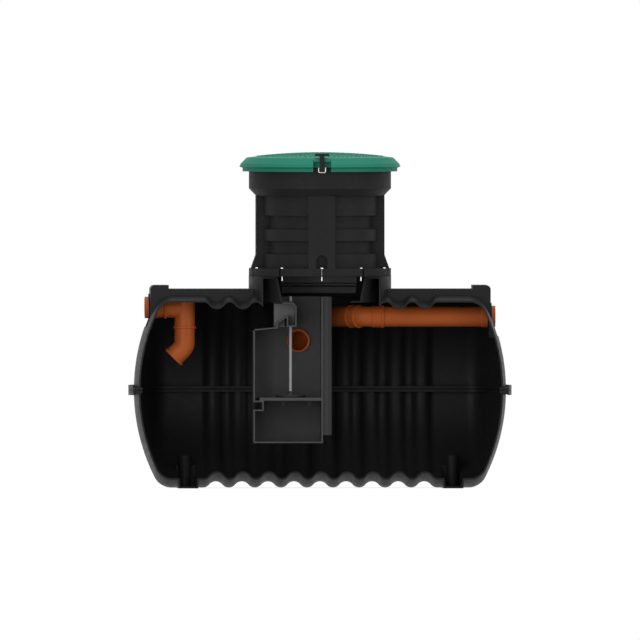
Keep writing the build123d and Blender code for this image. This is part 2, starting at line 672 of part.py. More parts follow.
def make_wall_socket(side, pipe_z):
    """Socket for a drain pipe, passing through a flat pad and necked down inside the tank."""
    mouth, end, bore = PAD_X + STUB_REACH, SOCKET_END_X + FIT_GAP, PIPE_RADIUS - PIPE_WALL
    step = mouth - SOCKET_DEPTH
    outline = [(SOCKET_BORE_RADIUS, mouth), (SOCKET_RADIUS - SOCKET_CHAMFER, mouth),
               (SOCKET_RADIUS, mouth - 2 * SOCKET_CHAMFER), (SOCKET_RADIUS, step),
               (PIPE_RADIUS, step - SOCKET_SHOULDER), (PIPE_RADIUS, end), (bore, end), (bore, step),
               (SOCKET_BORE_RADIUS, step)]
    return Pos(0, 0, pipe_z) * Rot(0, side * 90, 0) * revolved(outline)


def make_inlet_tee():
    """Tee with an open top, its branch on the inlet and its run pointing down."""
    height, bore = TEE_RISE + TEE_DEPTH, PIPE_RADIUS - PIPE_WALL
    run = Pos(INLET_DROP_X, 0, TEE_BOTTOM_Z)
    solid = run * extrude(Circle(PIPE_RADIUS), height)
    solid += bar_x(-SOCKET_END_X, INLET_DROP_X, INLET_Z, PIPE_RADIUS)
    tee = solid - run * extrude(Circle(bore), height)
    tee -= bar_x(-SOCKET_END_X - PIPE_WALL, INLET_DROP_X, INLET_Z, bore)
    low_socket = Pos(INLET_DROP_X, 0, TEE_BOTTOM_Z + BEAD_HALF_WIDTH) * bead_ring(PIPE_RADIUS)
    branch_place = Pos(BEAD_HALF_WIDTH - SOCKET_END_X, 0, INLET_Z) * Rot(0, 90, 0)
    return tee + low_socket + branch_place * bead_ring(PIPE_RADIUS)


def make_inlet_dip():
    """Drop pipe that ends in a 45 degree elbow with a rimmed mouth."""
    slope = sin(radians(45))
    bend_z = INLET_Z - DIP_DEPTH
    mouth = (INLET_DROP_X - DIP_MOUTH_REACH * slope, 0, bend_z - DIP_MOUTH_REACH * slope)
    points = [(INLET_DROP_X, 0, TEE_BOTTOM_Z - FIT_GAP), (INLET_DROP_X, 0, bend_z), mouth]
    rim = Pos(mouth[0] + BEAD_HALF_WIDTH * slope, 0, mouth[2] + BEAD_HALF_WIDTH * slope)
    return bent_tube(points, PIPE_RADIUS + DIP_BEND_GAP) + rim * Rot(0, 45, 0) * bead_ring(PIPE_RADIUS)


def make_outlet_pipe():
    """Straight pipe from the outlet socket to the first bend."""
    bore = bar_x(OUTLET_JOINT_X - PIPE_WALL, SOCKET_END_X + PIPE_WALL, OUTLET_Z, PIPE_RADIUS - PIPE_WALL)
    return bar_x(OUTLET_JOINT_X, SOCKET_END_X, OUTLET_Z, PIPE_RADIUS) - bore


def outlet_route():
    """Corners of the line from the first bend round behind the unit into its back wall."""
    start = Vector(OUTLET_JOINT_X - FIT_GAP, 0, OUTLET_Z)
    turn = Vector(OUTLET_BEND_X, 0, OUTLET_Z)
    rear = Vector(OUTLET_REAR_X, OUTLET_REAR_Y, OUTLET_Z - OUTLET_REAR_DROP)
    behind = Vector(UNIT_MOUTH_X, OUTLET_REAR_Y, UNIT_MOUTH_Z)
    mouth = Vector(UNIT_MOUTH_X, UNIT_BACK_Y - UNIT_WALL - MOUTH_REACH, UNIT_MOUTH_Z)
    return start, turn, rear, behind, mouth


def make_outlet_bend():
    """Bend that turns the outlet line down and back, with a bead on its upper end."""
    start, turn, rear, behind, mouth = outlet_route()
    tube = bent_tube([start, turn, turn + (rear - turn) * OUTLET_SPLIT], OUTLET_BEND_RADIUS)
    return tube + Pos(start.X - BEAD_HALF_WIDTH, 0, OUTLET_Z) * Rot(0, 90, 0) * bead_ring(PIPE_RADIUS)


def make_unit_connector():
    """Line that runs on behind the unit and enters its back wall."""
    start, turn, rear, behind, mouth = outlet_route()
    joint = turn + (rear - turn) * OUTLET_SPLIT + (rear - turn).normalized() * FIT_GAP
    line = bent_tube([joint, rear, behind, mouth], PIPE_RADIUS + CONNECTOR_BEND_GAP)
    rim = Circle(PIPE_RADIUS + SOCKET_BEAD) - Circle(PIPE_RADIUS - PIPE_WALL)
    return line + Pos(*mouth) * extrude(Plane.XZ * rim, MOUTH_REACH - FIT_GAP, dir=(0, 1, 0))


# Clarifying unit

def unit_plan(inset):
    """Plan of the unit: straight left wall, round rear corner, flat back, right wall."""
    left, right, back = UNIT_LEFT_X + inset, UNIT_RIGHT_X - inset, UNIT_BACK_Y - inset
    front = CUT_Y if inset == 0 else CUT_Y - UNIT_WALL
    face = outline_face([(left, front), (left, back), (right, back), (right, front)])
    corner = [v for v in face.vertices() if v.X < left + 1 and v.Y > back - 1]
    return fillet(corner, UNIT_CORNER_RADIUS - inset)


def unit_inside(clearance, z_low, z_high):
    """Space inside the unit's walls, less a clearance."""
    plan = unit_plan(UNIT_WALL + clearance)
    return Pos(0, 0, z_low) * extrude(plan, z_high - z_low)


def make_unit_housing():
    """Open-topped housing with a lower left shoulder, a notch in its left wall and the inlet hole."""
    outside = Pos(0, 0, UNIT_BOTTOM_Z) * extrude(unit_plan(0), UNIT_RIGHT_TOP_Z - UNIT_BOTTOM_Z)
    shell = outside - unit_inside(0, UNIT_BOTTOM_Z + UNIT_WALL, UNIT_RIGHT_TOP_Z + UNIT_WALL)
    notch_in = UNIT_LEFT_X + UNIT_NOTCH_DEPTH
    notch = block(-FAR, notch_in, -FAR, UNIT_BACK_Y, UNIT_NOTCH_LOW_Z, UNIT_NOTCH_TOP_Z)
    jacket = outside & block(-FAR, notch_in + UNIT_WALL, -FAR, UNIT_BACK_Y, UNIT_NOTCH_LOW_Z - UNIT_WALL,
                             UNIT_NOTCH_TOP_Z + UNIT_WALL)
    shell = shell + jacket - notch
    shell -= block(-FAR, UNIT_SHOULDER_X, -FAR, FAR, UNIT_LEFT_TOP_Z, FAR)
    hole = Rot(90, 0, 0) * Cylinder(PIPE_RADIUS + FIT_GAP, 4 * UNIT_WALL)
    return shell - Pos(UNIT_MOUTH_X, UNIT_BACK_Y, UNIT_MOUTH_Z) * hole


def make_side_duct():
    """Upright duct on the unit's right wall, with a bevelled front corner."""
    left, right = UNIT_RIGHT_X + FIT_GAP, UNIT_RIGHT_X + DUCT_WIDTH
    plan = outline_face([(left, DUCT_FRONT_Y), (right - DUCT_CHAMFER_X, DUCT_FRONT_Y),
                         (right, DUCT_FRONT_Y + DUCT_CHAMFER_Y), (right, UNIT_BACK_Y), (left, UNIT_BACK_Y)])
    front, corner_y = DUCT_FRONT_Y + DUCT_WALL, DUCT_FRONT_Y + DUCT_CHAMFER_Y + DUCT_WALL / 3
    inside = outline_face([(left + DUCT_WALL, front), (right - DUCT_CHAMFER_X - DUCT_WALL / 2, front),
                           (right - DUCT_WALL, corner_y), (right - DUCT_WALL, UNIT_BACK_Y - DUCT_WALL),
                           (left + DUCT_WALL, UNIT_BACK_Y - DUCT_WALL)])
    low = UNIT_BOTTOM_Z + DUCT_FLOOR_RISE
    return Pos(0, 0, low) * extrude(plan - inside, UNIT_RIGHT_TOP_Z - low, dir=(0, 0, 1))


def make_unit_hood():
    """Folded sheet over the pull rod, under the funnel's left ledge."""
    top, inset = LEDGE_BOTTOM_Z, HOOD_RIGHT_X - UNIT_WALL
    low = top - HOOD_DROP
    face = outline_face([(HOOD_LEFT_X, top), (HOOD_RIGHT_X, top), (HOOD_RIGHT_X, low), (HOOD_LIP_X, low),
                         (HOOD_LIP_X, low + UNIT_WALL), (inset, low + UNIT_WALL), (inset, top - UNIT_WALL),
                         (HOOD_LEFT_X, top - UNIT_WALL)])
    hood = prism_y(face, CUT_Y, UNIT_BACK_Y - UNIT_WALL - FIT_GAP)
    return hood - Pos(ROD_X, ROD_Y, top) * Cylinder(ROD_RADIUS + ROD_GUIDE_GAP, ROD_HOLE_LENGTH)


def make_unit_cover():
    """Folded cover from the unit's left wall up to a channel beside the hood."""
    foot, tip, throat = COVER_FOOT_X, COVER_TIP_X, COVER_THROAT_X
    places = [foot, tip, tip, throat, throat, tip, tip, foot, foot, UNIT_LEFT_X]
    rises = [UNIT_LEFT_TOP_Z + height for height in COVER_HEIGHTS]
    face = outline_face([(UNIT_LEFT_X, UNIT_LEFT_TOP_Z)] + list(zip(places, rises)))
    return prism_y(face, CUT_Y, UNIT_BACK_Y) & unit_inside(FIT_GAP, UNIT_BOTTOM_Z, UNIT_RIGHT_TOP_Z)


def make_divider_plate():
    """Plate across the unit with the valve's round mouth."""
    span = block(UNIT_LEFT_X + PLATE_SETBACK, FAR, CUT_Y, UNIT_BACK_Y, PLATE_LOW_Z, PLATE_TOP_Z)
    plate = span & unit_inside(FIT_GAP, PLATE_LOW_Z, PLATE_TOP_Z)
    mouth = upright_cylinder(DISC_RADIUS - PLATE_BORE_SETBACK, PLATE_LOW_Z - UNIT_WALL,
                             PLATE_TOP_Z + UNIT_WALL)
    return plate - Pos(ROD_X, ROD_Y, 0) * mouth


def make_valve_seal():
    outer, low, high = DISC_RADIUS - VALVE_SEAL_SETBACK, PLATE_TOP_Z, PLATE_TOP_Z + VALVE_SEAL_THICKNESS
    inner = outer - VALVE_SEAL_WIDTH
    ring = revolved([(inner, low), (outer, low), (outer, high), (inner, high)])
    return Pos(ROD_X, ROD_Y, 0) * ring


def make_valve_disc():
    rim_z = DISC_LOW_Z + DISC_THICKNESS
    outline = [(0, DISC_LOW_Z), (DISC_RADIUS, DISC_LOW_Z), (DISC_RADIUS, rim_z), (DISC_CONE_RADIUS, rim_z),
               (ROD_RADIUS + ROD_GUIDE_GAP, DISC_TOP_Z), (0, DISC_TOP_Z)]
    return Pos(ROD_X, ROD_Y, 0) * revolved(outline)


def make_valve_rod():
    return Pos(ROD_X, ROD_Y, 0) * upright_cylinder(ROD_RADIUS, DISC_TOP_Z, LEDGE_BOTTOM_Z + ROD_RISE)


PIECES = {
    "lower_shell": (make_lower_shell, True),
    "lower_left_end": (make_lower_left_end, True),
    "lower_right_end": (make_lower_right_end, True),
    "upper_shell": (make_upper_shell, True),
    "upper_left_end": (make_upper_left_end, True),
    "upper_right_end": (make_upper_right_end, True),
    "neck": (make_neck, True),
    "joint_seal": (make_joint_seal, True),
    "neck_funnel": (make_neck_funnel, True),
    "neck_gasket": (make_neck_gasket, False),
    "riser": (make_riser, False),
    "flange_screws": (make_flange_screws, False),
    "lid": (make_lid, False),
    "lid_latch": (make_lid_latch, False),
    "latch_bail": (make_latch_bail, False),
    "inlet_tee": (make_inlet_tee, False),
    "inlet_dip": (make_inlet_dip, False),
    "outlet_pipe": (make_outlet_pipe, False),
    "outlet_bend": (make_outlet_bend, False),
    "unit_connector": (make_unit_connector, False),
    "unit_housing": (make_unit_housing, True),
    "side_duct": (make_side_duct, True),
    "unit_hood": (make_unit_hood, True),
    "unit_cover": (make_unit_cover, True),
    "divider_plate": (make_divider_plate, True),
    "valve_seal": (make_valve_seal, False),
    "valve_disc": (make_valve_disc, False),
    "valve_rod": (make_valve_rod, False),
}


def main():
    os.makedirs("parts", exist_ok=True)
    made = {name: (maker(), cut) for name, (maker, cut) in PIECES.items()}
    for side, name in ((-1, "left"), (1, "right")):
        made["floor_post_" + name] = (make_floor_post(side), False)
    for side, name, pipe_z in ((-1, "inlet", INLET_Z), (1, "outlet", OUTLET_Z)):
        made[name + "_socket"] = (make_wall_socket(side, pipe_z), False)
        made[name + "_seal"] = (make_wall_seal(side, pipe_z), False)
    for name, (piece, cut) in made.items():
        if cut:
            piece = piece & keep_behind_cut()
        export_step(FRAME * piece, f"parts/{name}.step")


main()
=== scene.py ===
"""Finishes, small parts and studio stage for a cutaway septic tank.

X runs along the tank to the outlet, -Y is the cut-open front and Z is up. Lengths are in metres.
"""

from math import asin, cos, pi, radians, sin, sqrt, tan

import bpy
from bpy.props import FloatProperty, FloatVectorProperty, IntProperty, PointerProperty
from bpy.types import Operator, Panel, PropertyGroup
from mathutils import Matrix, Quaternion, Vector


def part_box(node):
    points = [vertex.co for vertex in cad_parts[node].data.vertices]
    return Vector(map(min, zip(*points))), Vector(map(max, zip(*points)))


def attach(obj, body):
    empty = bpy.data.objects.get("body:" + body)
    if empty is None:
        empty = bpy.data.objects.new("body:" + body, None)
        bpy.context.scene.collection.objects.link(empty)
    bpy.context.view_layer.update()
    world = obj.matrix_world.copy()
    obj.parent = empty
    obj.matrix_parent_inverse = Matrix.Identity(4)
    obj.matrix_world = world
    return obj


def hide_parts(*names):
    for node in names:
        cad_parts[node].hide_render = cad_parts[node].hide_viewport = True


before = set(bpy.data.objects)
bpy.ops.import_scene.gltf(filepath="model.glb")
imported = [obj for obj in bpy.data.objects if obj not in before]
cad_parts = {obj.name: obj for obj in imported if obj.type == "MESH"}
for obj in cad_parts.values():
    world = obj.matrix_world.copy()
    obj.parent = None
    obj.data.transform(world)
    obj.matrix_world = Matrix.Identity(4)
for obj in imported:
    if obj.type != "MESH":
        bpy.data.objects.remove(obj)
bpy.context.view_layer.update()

bl_info = {
    "name": "Septic Tank Finishes",
    "version": (1, 0, 0),
    "blender": (4, 5, 0),
    "location": "3D View > Sidebar > Septic Tank",
    "description": "Finishes, small parts and studio stage for a cutaway septic tank",
    "category": "Object",
}

MM = 0.001
NEAR = 0.001  # metres within which two places count as one
SMOOTH_ANGLE, BAND_STEP, BEND_STEP = 35, 3, 7  # degrees

# Places read from the frame
PIPE_LOW, PIPE_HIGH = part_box("outlet_pipe")
AXIS_Y = (PIPE_LOW.y + PIPE_HIGH.y) / 2
LID_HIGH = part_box("lid")[1]
SCREWS_LOW, SCREWS_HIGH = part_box("flange_screws")
BAIL_LOW, BAIL_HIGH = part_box("latch_bail")
HOOD_LOW, HOOD_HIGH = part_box("unit_hood")
PLATE_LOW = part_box("divider_plate")[0]
ROD_LOW, ROD_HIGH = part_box("valve_rod")

# Sizes and places below are in millimetres, along the tank, behind its axis plane and up.
FRONT_Y, BACK_Y = (HOOD_LOW.y - AXIS_Y) / MM, (HOOD_HIGH.y - AXIS_Y) / MM
ROD_X, ROD_Y = (ROD_LOW.x + ROD_HIGH.x) / 2 / MM, ((ROD_LOW.y + ROD_HIGH.y) / 2 - AXIS_Y) / MM

# Drain pipe, and the outlet line's route: corners as along, behind and below its level
PIPE_RADIUS, PIPE_WALL, PIPE_BEAD = 55.0, 3.2, 62.0
PIPE_GAP = 0.3
ROUTE = ((240.0, 0.0, 0.0), (55.0, 160.0, 0.0), (-115.0, 160.0, 131.0))
FIRST_BEND, DROP_BEND = 80.0, 59.0
BEAD_WIDTH, BEAD_GAP = 14.0, 38.0
LIP = 1.5
SOCKET = ((LIP, PIPE_BEAD), (11.0, None), (LIP, PIPE_BEAD - 3.5), (48.0, None), (3.0, PIPE_RADIUS))
CONNECTOR_NECK, CONNECTOR_COLLAR = 34.0, 18.5

# Flange screws, with shares of the shank's radius for the thread's core and flanks
SCREW_HEAD, WASHER_HEIGHT, HEAD_EASE = 5.0, 1.4, 0.8
CORE_SHARE, FLANK_SHARE = 0.86, 0.84
THREAD_PITCH, THREAD_TURNS = 2.2, 14

# Riser: screw slots, and the steps between its bands and waists from rib to rib
SLOT_WIDTH, SLOT_REACH, SLOT_DEPTH, SLOT_RISE = 12.0, 40.0, 48.0, 1.5
SLOT_ROUNDING = 0.98
STEP_HEIGHTS = (1265.0, 1337.0, 1399.0, 1473.0)
STEP_INNER, BAND_OUTER, WAIST_OUTER = 278.0, 295.0, 286.8
STEP_DEPTH, BAND_REACH, WAIST_REACH = 7.0, -0.2, 8.0
RIB_EDGE, RIB_GAP = 13.6, 62.8

# Funnel bands, pale pieces that paint the light on the funnel's black back wall: inner and outer radius,
# low and high edge; then their angles
FUNNEL_BANDS = ((303.0, 315.0, 1105.0, 1140.0), (299.5, 310.5, 1091.0, 1102.0),
                (296.0, 308.0, 1050.0, 1085.0))
FUNNEL_START, FUNNEL_SWEEP, FUNNEL_EASE = 48.0, 84.0, 3.0

# Clarifying unit
SHEET, SHEET_EASE = 7.5, 0.9
HOOD_LEFT, HOOD_SHOULDER, HOOD_RIGHT = -208.0, -152.0, -135.6
HOOD_LIP, HOOD_LOW_EDGE, HOOD_SLOPE = -184.0, 877.5, 16.0
ROD_HOLE, ROD_HOLE_MIDDLE, ROD_HOLE_REACH = 10.0, 940.0, 300.0
COVER_FOLDS = ((-357.0, 856.5), (-237.0, 867.0), (-237.0, 896.0), (-181.0, 930.0), (-181.0, 882.0))
COVER_TRIM = ((-356.7, -400.0, 700.0), (0.0, BACK_Y, 1100.0))
COVER_CORNER = 111.7
PANEL = ((-250.0, -104.0, 871.0), (-139.6, -98.0, 996.0))
PANEL_SLOT = ((-194.0, -150.0, 860.0), (-184.5, -60.0, 926.0))
PANEL_EASE = 1.0
PAD_SIDES = ((-208.0, -194.0), (-72.0, -46.0))
PAD_FRONT, PAD_BACK, PAD_HEIGHT, PAD_EASE = -110.0, -80.0, 28.0, 1.5

# Latch wire, and a stud's top as a share of its foot
WIRE, WIRE_SIDE, WIRE_BEND = 2.4, 18.5, 7.0
STUD_TAPER = 0.7

# Stage: distance, size and height in metres, and the rest as shares
CAMERA_DISTANCE = 8
LAMP_SIDE_SHARE = 0.6
FLOOR_SIZE, FLOOR_HEIGHT, FLOOR_TONE, FLOOR_GLOW = 5, -0.0005, 0.4, 0.82


# Settings

def colour(name, description, default):
    """Colour setting with its default."""
    return FloatVectorProperty(name=name, description=description, default=default,
                               subtype="COLOR", size=3, min=0.0, max=1.0)


def length(name, description, default):
    """Length setting in metres with its default."""
    return FloatProperty(name=name, description=description, default=default, unit="LENGTH", min=0.0)


class TankColours(PropertyGroup):
    """Colours of the moulded parts"""
    shell: colour("Shell", "Black polyethylene of the half shells, neck and posts", (0.0125, 0.0125, 0.013))
    riser: colour("Riser", "Black polyethylene of the riser, funnel and strap", (0.012, 0.012, 0.0125))
    rubber: colour("Rubber", "Gaskets and pipe seals", (0.010, 0.010, 0.011))
    lid: colour("Lid", "Green polyethylene of the lid", (0.017, 0.168, 0.110))
    pipe: colour("Pipe", "Orange-brown drain pipe", (0.380, 0.084, 0.017))
    unit: colour("Unit", "Grey plastic of the clarifying unit", (0.056, 0.056, 0.057))
    # This paler grey is painted light: a lighter copy of the plastic's colour for the lit funnel bands and
    # hood panel.
    painted_light_tone: colour("Pale unit", "Paler grey of the funnel bands and hood panel", (0.130, 0.130, 0.132))
    rod: colour("Rod", "Pale plastic pull rod", (0.330, 0.330, 0.327))
    # This dark colour is the valve disc's own, and painted shade on the pads under the plate.
    disc: colour("Disc", "Dark valve disc and the pads under its plate", (0.030, 0.030, 0.031))
    steel: colour("Steel", "Stainless screws and wire", (0.700, 0.700, 0.690))


class LidSizes(PropertyGroup):
    """Sizes of the lid's anti-slip studs"""
    stud_radius: length("Stud radius", "Radius at the foot of one stud", 0.0065)
    stud_height: length("Stud height", "Height of one stud", 0.003)
    stud_pitch: length("Stud pitch", "Distance between neighbouring studs", 0.026)
    dome_radius: length("Dome radius", "Radius of the lid's domed top", 3.1)
    dome_edge: length("Dome edge", "Radius from the middle where the dome ends", 0.383)


class ScrewSizes(PropertyGroup):
    """Sizes of the flange screws"""
    circle: length("Screw circle", "Radius of the circle the screws stand on", 0.362)
    shank: length("Shank radius", "Radius of a screw's shank", 0.004)
    washer: length("Washer radius", "Radius of a screw's washer face", 0.009)
    head: length("Head radius", "Radius over the corners of a hexagon head", 0.008)
    count: IntProperty(name="Screws", description="Number of flange screws", default=10, min=3)


class StageSettings(PropertyGroup):
    """Camera and lamps"""
    azimuth: FloatProperty(name="Azimuth", description="Camera's angle round the tank",
                           default=radians(-1.67), subtype="ANGLE")
    elevation: FloatProperty(name="Elevation", description="Camera's angle above the horizon",
                             default=radians(0.6), subtype="ANGLE")
    view_width: length("View width", "Width that the picture shows at the tank", 3.456)
    aim_x: length("Aim along", "Picture's centre along the tank", 0.0004)
    aim_z: length("Aim height", "Picture's centre above the floor", 0.9075)
    key_power: FloatProperty(name="Key power", description="Power of the overhead lamp", default=85.0,
                             subtype="POWER", min=0.0)
    fill_power: FloatProperty(name="Fill power", description="Power of the front lamp", default=105.0,
                              subtype="POWER", min=0.0)
    ambient: FloatProperty(name="Ambient", description="Strength of the light from all round",
                           default=0.45, min=0.0)


# Shader building

def link(tree, start, end):
    """Joins an output to an input."""
    tree.links.new(start, end)


def node(tree, kind, **inputs):
    """Shader node with some of its inputs set; a name's underscores stand for spaces."""
    made = tree.nodes.new(kind)
    for name, value in inputs.items():
        made.inputs[name.replace("_", " ")].default_value = value
    return made


def group_socket(tree, name, side, kind, default=None):
    """Adds a named input or output to a node group."""
    socket = tree.interface.new_socket(name=name, in_out=side, socket_type=kind)
    if default is not None:
        socket.default_value = default


def mapped_noise(tree, stretch, scale, detail, roughness=0.5):
    """Noise over the piece's own coordinates, stretched by a scale along each axis."""
    place = node(tree, "ShaderNodeTexCoord")
    mapping = node(tree, "ShaderNodeMapping", Scale=stretch)
    noise = node(tree, "ShaderNodeTexNoise", Scale=scale, Detail=detail, Roughness=roughness)
    link(tree, place.outputs["Object"], mapping.inputs["Vector"])
    link(tree, mapping.outputs["Vector"], noise.inputs["Vector"])
    return noise.outputs["Fac"]


def remap(tree, value, low, high):
    """Spreads a 0.3 to 0.7 value over low to high."""
    made = node(tree, "ShaderNodeMapRange", From_Min=0.3, From_Max=0.7, To_Min=low, To_Max=high)
    link(tree, value, made.inputs["Value"])
    return made.outputs["Result"]


def moulded_skin():
    """Group for moulded plastic: faint clouding, a fine grain and uneven gloss."""
    name = "Moulded skin"
    if name in bpy.data.node_groups:
        return bpy.data.node_groups[name]
    tree = bpy.data.node_groups.new(name, "ShaderNodeTree")
    group_socket(tree, "Colour", "INPUT", "NodeSocketColor")
    group_socket(tree, "Clouding", "INPUT", "NodeSocketFloat", 0.15)
    group_socket(tree, "Roughness", "INPUT", "NodeSocketFloat", 0.45)
    group_socket(tree, "Colour", "OUTPUT", "NodeSocketColor")
    group_socket(tree, "Roughness", "OUTPUT", "NodeSocketFloat")
    group_socket(tree, "Height", "OUTPUT", "NodeSocketFloat")
    given, result = tree.nodes.new("NodeGroupInput"), tree.nodes.new("NodeGroupOutput")
    cloud = mapped_noise(tree, (1, 1, 1), 3.5, 5, 0.6)
    grain = mapped_noise(tree, (1, 1, 1), 420, 3, 0.55)
    swell = mapped_noise(tree, (1, 1, 1), 38, 2)
    shade = node(tree, "ShaderNodeMath")
    shade.operation = "MULTIPLY_ADD"
    centred = remap(tree, cloud, -0.5, 0.5)
    link(tree, centred, shade.inputs[0])
    link(tree, given.outputs["Clouding"], shade.inputs[1])
    shade.inputs[2].default_value = 1.0
    tint = node(tree, "ShaderNodeVectorMath")
    tint.operation = "SCALE"
    link(tree, given.outputs["Colour"], tint.inputs[0])
    link(tree, shade.outputs[0], tint.inputs["Scale"])
    link(tree, tint.outputs["Vector"], result.inputs["Colour"])
    gloss = node(tree, "ShaderNodeMath")
    gloss.operation = "MULTIPLY_ADD"
    link(tree, remap(tree, swell, -0.06, 0.06), gloss.inputs[0])
    gloss.inputs[1].default_value = 1.0
    link(tree, given.outputs["Roughness"], gloss.inputs[2])
    link(tree, gloss.outputs[0], result.inputs["Roughness"])
    height = node(tree, "ShaderNodeMath")
    height.operation = "MULTIPLY_ADD"
    link(tree, grain, height.inputs[0])
    height.inputs[1].default_value = 0.35
    link(tree, swell, height.inputs[2])
    link(tree, height.outputs[0], result.inputs["Height"])
    return tree


def drawn_lines():
    """Group for drawn plastic and metal: fine lines along one axis."""
    name = "Drawn lines"
    if name in bpy.data.node_groups:
        return bpy.data.node_groups[name]
    tree = bpy.data.node_groups.new(name, "ShaderNodeTree")
    group_socket(tree, "Stretch", "INPUT", "NodeSocketVector")
    group_socket(tree, "Height", "OUTPUT", "NodeSocketFloat")
    given, result = tree.nodes.new("NodeGroupInput"), tree.nodes.new("NodeGroupOutput")
    place = node(tree, "ShaderNodeTexCoord")
    mapping = node(tree, "ShaderNodeMapping")
    noise = node(tree, "ShaderNodeTexNoise", Scale=160, Detail=3, Roughness=0.6)
    link(tree, place.outputs["Object"], mapping.inputs["Vector"])
    link(tree, given.outputs["Stretch"], mapping.inputs["Scale"])
    link(tree, mapping.outputs["Vector"], noise.inputs["Vector"])
    link(tree, noise.outputs["Fac"], result.inputs["Height"])
    return tree


def blank_material(name):
    """Material with only a Principled shader, and that shader."""
    material = bpy.data.materials.new(name)
    material.use_nodes = True
    return material, material.node_tree.nodes["Principled BSDF"]


def bump(tree, height, shader, strength, distance):
    """Feeds a height to a shader's normal."""
    made = node(tree, "ShaderNodeBump", Strength=strength, Distance=distance)
    link(tree, height, made.inputs["Height"])
    link(tree, made.outputs["Normal"], shader.inputs["Normal"])


def moulded_plastic(name, tone, roughness, specular, clouding=0.15, relief=0.12):
    """Moulded plastic in one colour, built once."""
    if name in bpy.data.materials:
        return bpy.data.materials[name]
    material, shader = blank_material(name)
    tree = material.node_tree
    skin = tree.nodes.new("ShaderNodeGroup")
    skin.node_tree = moulded_skin()
    skin.inputs["Colour"].default_value = (*tone, 1.0)
    skin.inputs["Clouding"].default_value = clouding
    skin.inputs["Roughness"].default_value = roughness
    link(tree, skin.outputs["Colour"], shader.inputs["Base Color"])
    link(tree, skin.outputs["Roughness"], shader.inputs["Roughness"])
    shader.inputs["Specular IOR Level"].default_value = specular
    bump(tree, skin.outputs["Height"], shader, relief, 0.0004)
    return material


def shell_black(colours):
    """Satin black polyethylene of the half shells, neck and posts."""
    return moulded_plastic("shell_black", colours.shell, roughness=0.46, specular=0.10)


def riser_black(colours):
    """Duller black polyethylene of the riser, funnel and strap."""
    return moulded_plastic("riser_black", colours.riser, roughness=0.58, specular=0.10)


def seal_rubber(colours):
    """Matt black rubber."""
    return moulded_plastic("seal_rubber", colours.rubber, roughness=0.72, specular=0.08,
                           clouding=0.1, relief=0.2)


def lid_green(colours):
    """Green polyethylene of the lid."""
    return moulded_plastic("lid_green", colours.lid, roughness=0.52, specular=0.08, clouding=0.10)


def unit_grey(colours):
    """Dark grey plastic of the clarifying unit."""
    return moulded_plastic("unit_grey", colours.unit, roughness=0.50, specular=0.14, clouding=0.12)


def painted_light_grey(colours):
    """Paler grey of the funnel bands and the hood's panel, which paints the light falling on them."""
    return moulded_plastic("painted_light_grey", colours.painted_light_tone, roughness=0.50, specular=0.14, clouding=0.12)


def rod_grey(colours):
    """Pale plastic of the pull rod."""
    return moulded_plastic("rod_grey", colours.rod, roughness=0.42, specular=0.3, clouding=0.06)


def disc_dark_and_painted_shade(colours):
    """Dark plastic of the valve disc, also put on the plate's pads as painted shade."""
    return moulded_plastic("disc_dark_and_painted_shade", colours.disc, roughness=0.5, specular=0.2, clouding=0.1)


def pipe_orange(colours, axis):
    """Drain pipe, named for the axis that its run follows."""
    return moulded_plastic("pipe_orange_" + axis, colours.pipe, roughness=0.38, specular=0.12,
                           clouding=0.12, relief=0.06)


def stainless(colours):
    """Bright stainless steel with fine turning marks."""
    material, shader = blank_material("stainless")
    tree = material.node_tree
    lines = tree.nodes.new("ShaderNodeGroup")
    lines.node_tree = drawn_lines()
    lines.inputs["Stretch"].default_value = (1.0, 1.0, 14.0)
    shader.inputs["Base Color"].default_value = (*colours.steel, 1.0)
    shader.inputs["Metallic"].default_value = 1.0
    link(tree, remap(tree, lines.outputs["Height"], 0.24, 0.38), shader.inputs["Roughness"])
    bump(tree, lines.outputs["Height"], shader, 0.1, 0.0002)
    return material


def coat_nodes(names, material):
    """Gives CAD nodes their finish."""
    for name in names:
        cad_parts[name].material_slots[0].material = material


# Modelling helpers

def clear_selection():
    """Leaves edit mode and deselects every object."""
    if bpy.context.object and bpy.context.object.mode != "OBJECT":
        bpy.ops.object.mode_set(mode="OBJECT")
    bpy.ops.object.select_all(action="DESELECT")


def activate(piece):
    """Makes a piece the only selected and active one."""
    clear_selection()
    piece.select_set(True)
    bpy.context.view_layer.objects.active = piece


def settle(piece, name):
    """Puts a finished piece's place into its mesh and names it."""
    activate(piece)
    bpy.ops.object.transform_apply(location=True, rotation=True, scale=True)
    piece.name = name
    piece.data.name = name
    return piece


def pick(mode, test):
    """Selects the active mesh's faces or edges that pass a test, and stays in edit mode.

    A face is tested by its middle and normal, and an edge by its two ends.
    """
    mesh = bpy.context.object.data
    bpy.ops.object.mode_set(mode="EDIT")
    bpy.ops.mesh.select_mode(type=mode)
    bpy.ops.mesh.select_all(action="DESELECT")
    bpy.ops.object.mode_set(mode="OBJECT")
    if mode == "FACE":
        for face in mesh.polygons:
            face.select = test(face.center, face.normal)
    else:
        for edge in mesh.edges:
            start, end = (mesh.vertices[i].co for i in edge.vertices)
            edge.select = test(start, end)
    bpy.ops.object.mode_set(mode="EDIT")


def leave_edit():
    """Goes back to object mode."""
    bpy.ops.object.mode_set(mode="OBJECT")


def join(pieces, name):
    """Joins several pieces into the first."""
    clear_selection()
    for piece in pieces:
        piece.select_set(True)
    bpy.context.view_layer.objects.active = pieces[0]
    bpy.ops.object.join()
    return settle(pieces[0], name)


def apply_modifiers(piece):
    """Applies a piece's modifiers in their order."""
    activate(piece)
    for modifier in list(piece.modifiers):
        bpy.ops.object.modifier_apply(modifier=modifier.name)


def smooth(piece):
    """Shades a piece smooth, apart from its corners."""
    activate(piece)
    bpy.ops.object.shade_smooth_by_angle(angle=radians(SMOOTH_ANGLE))


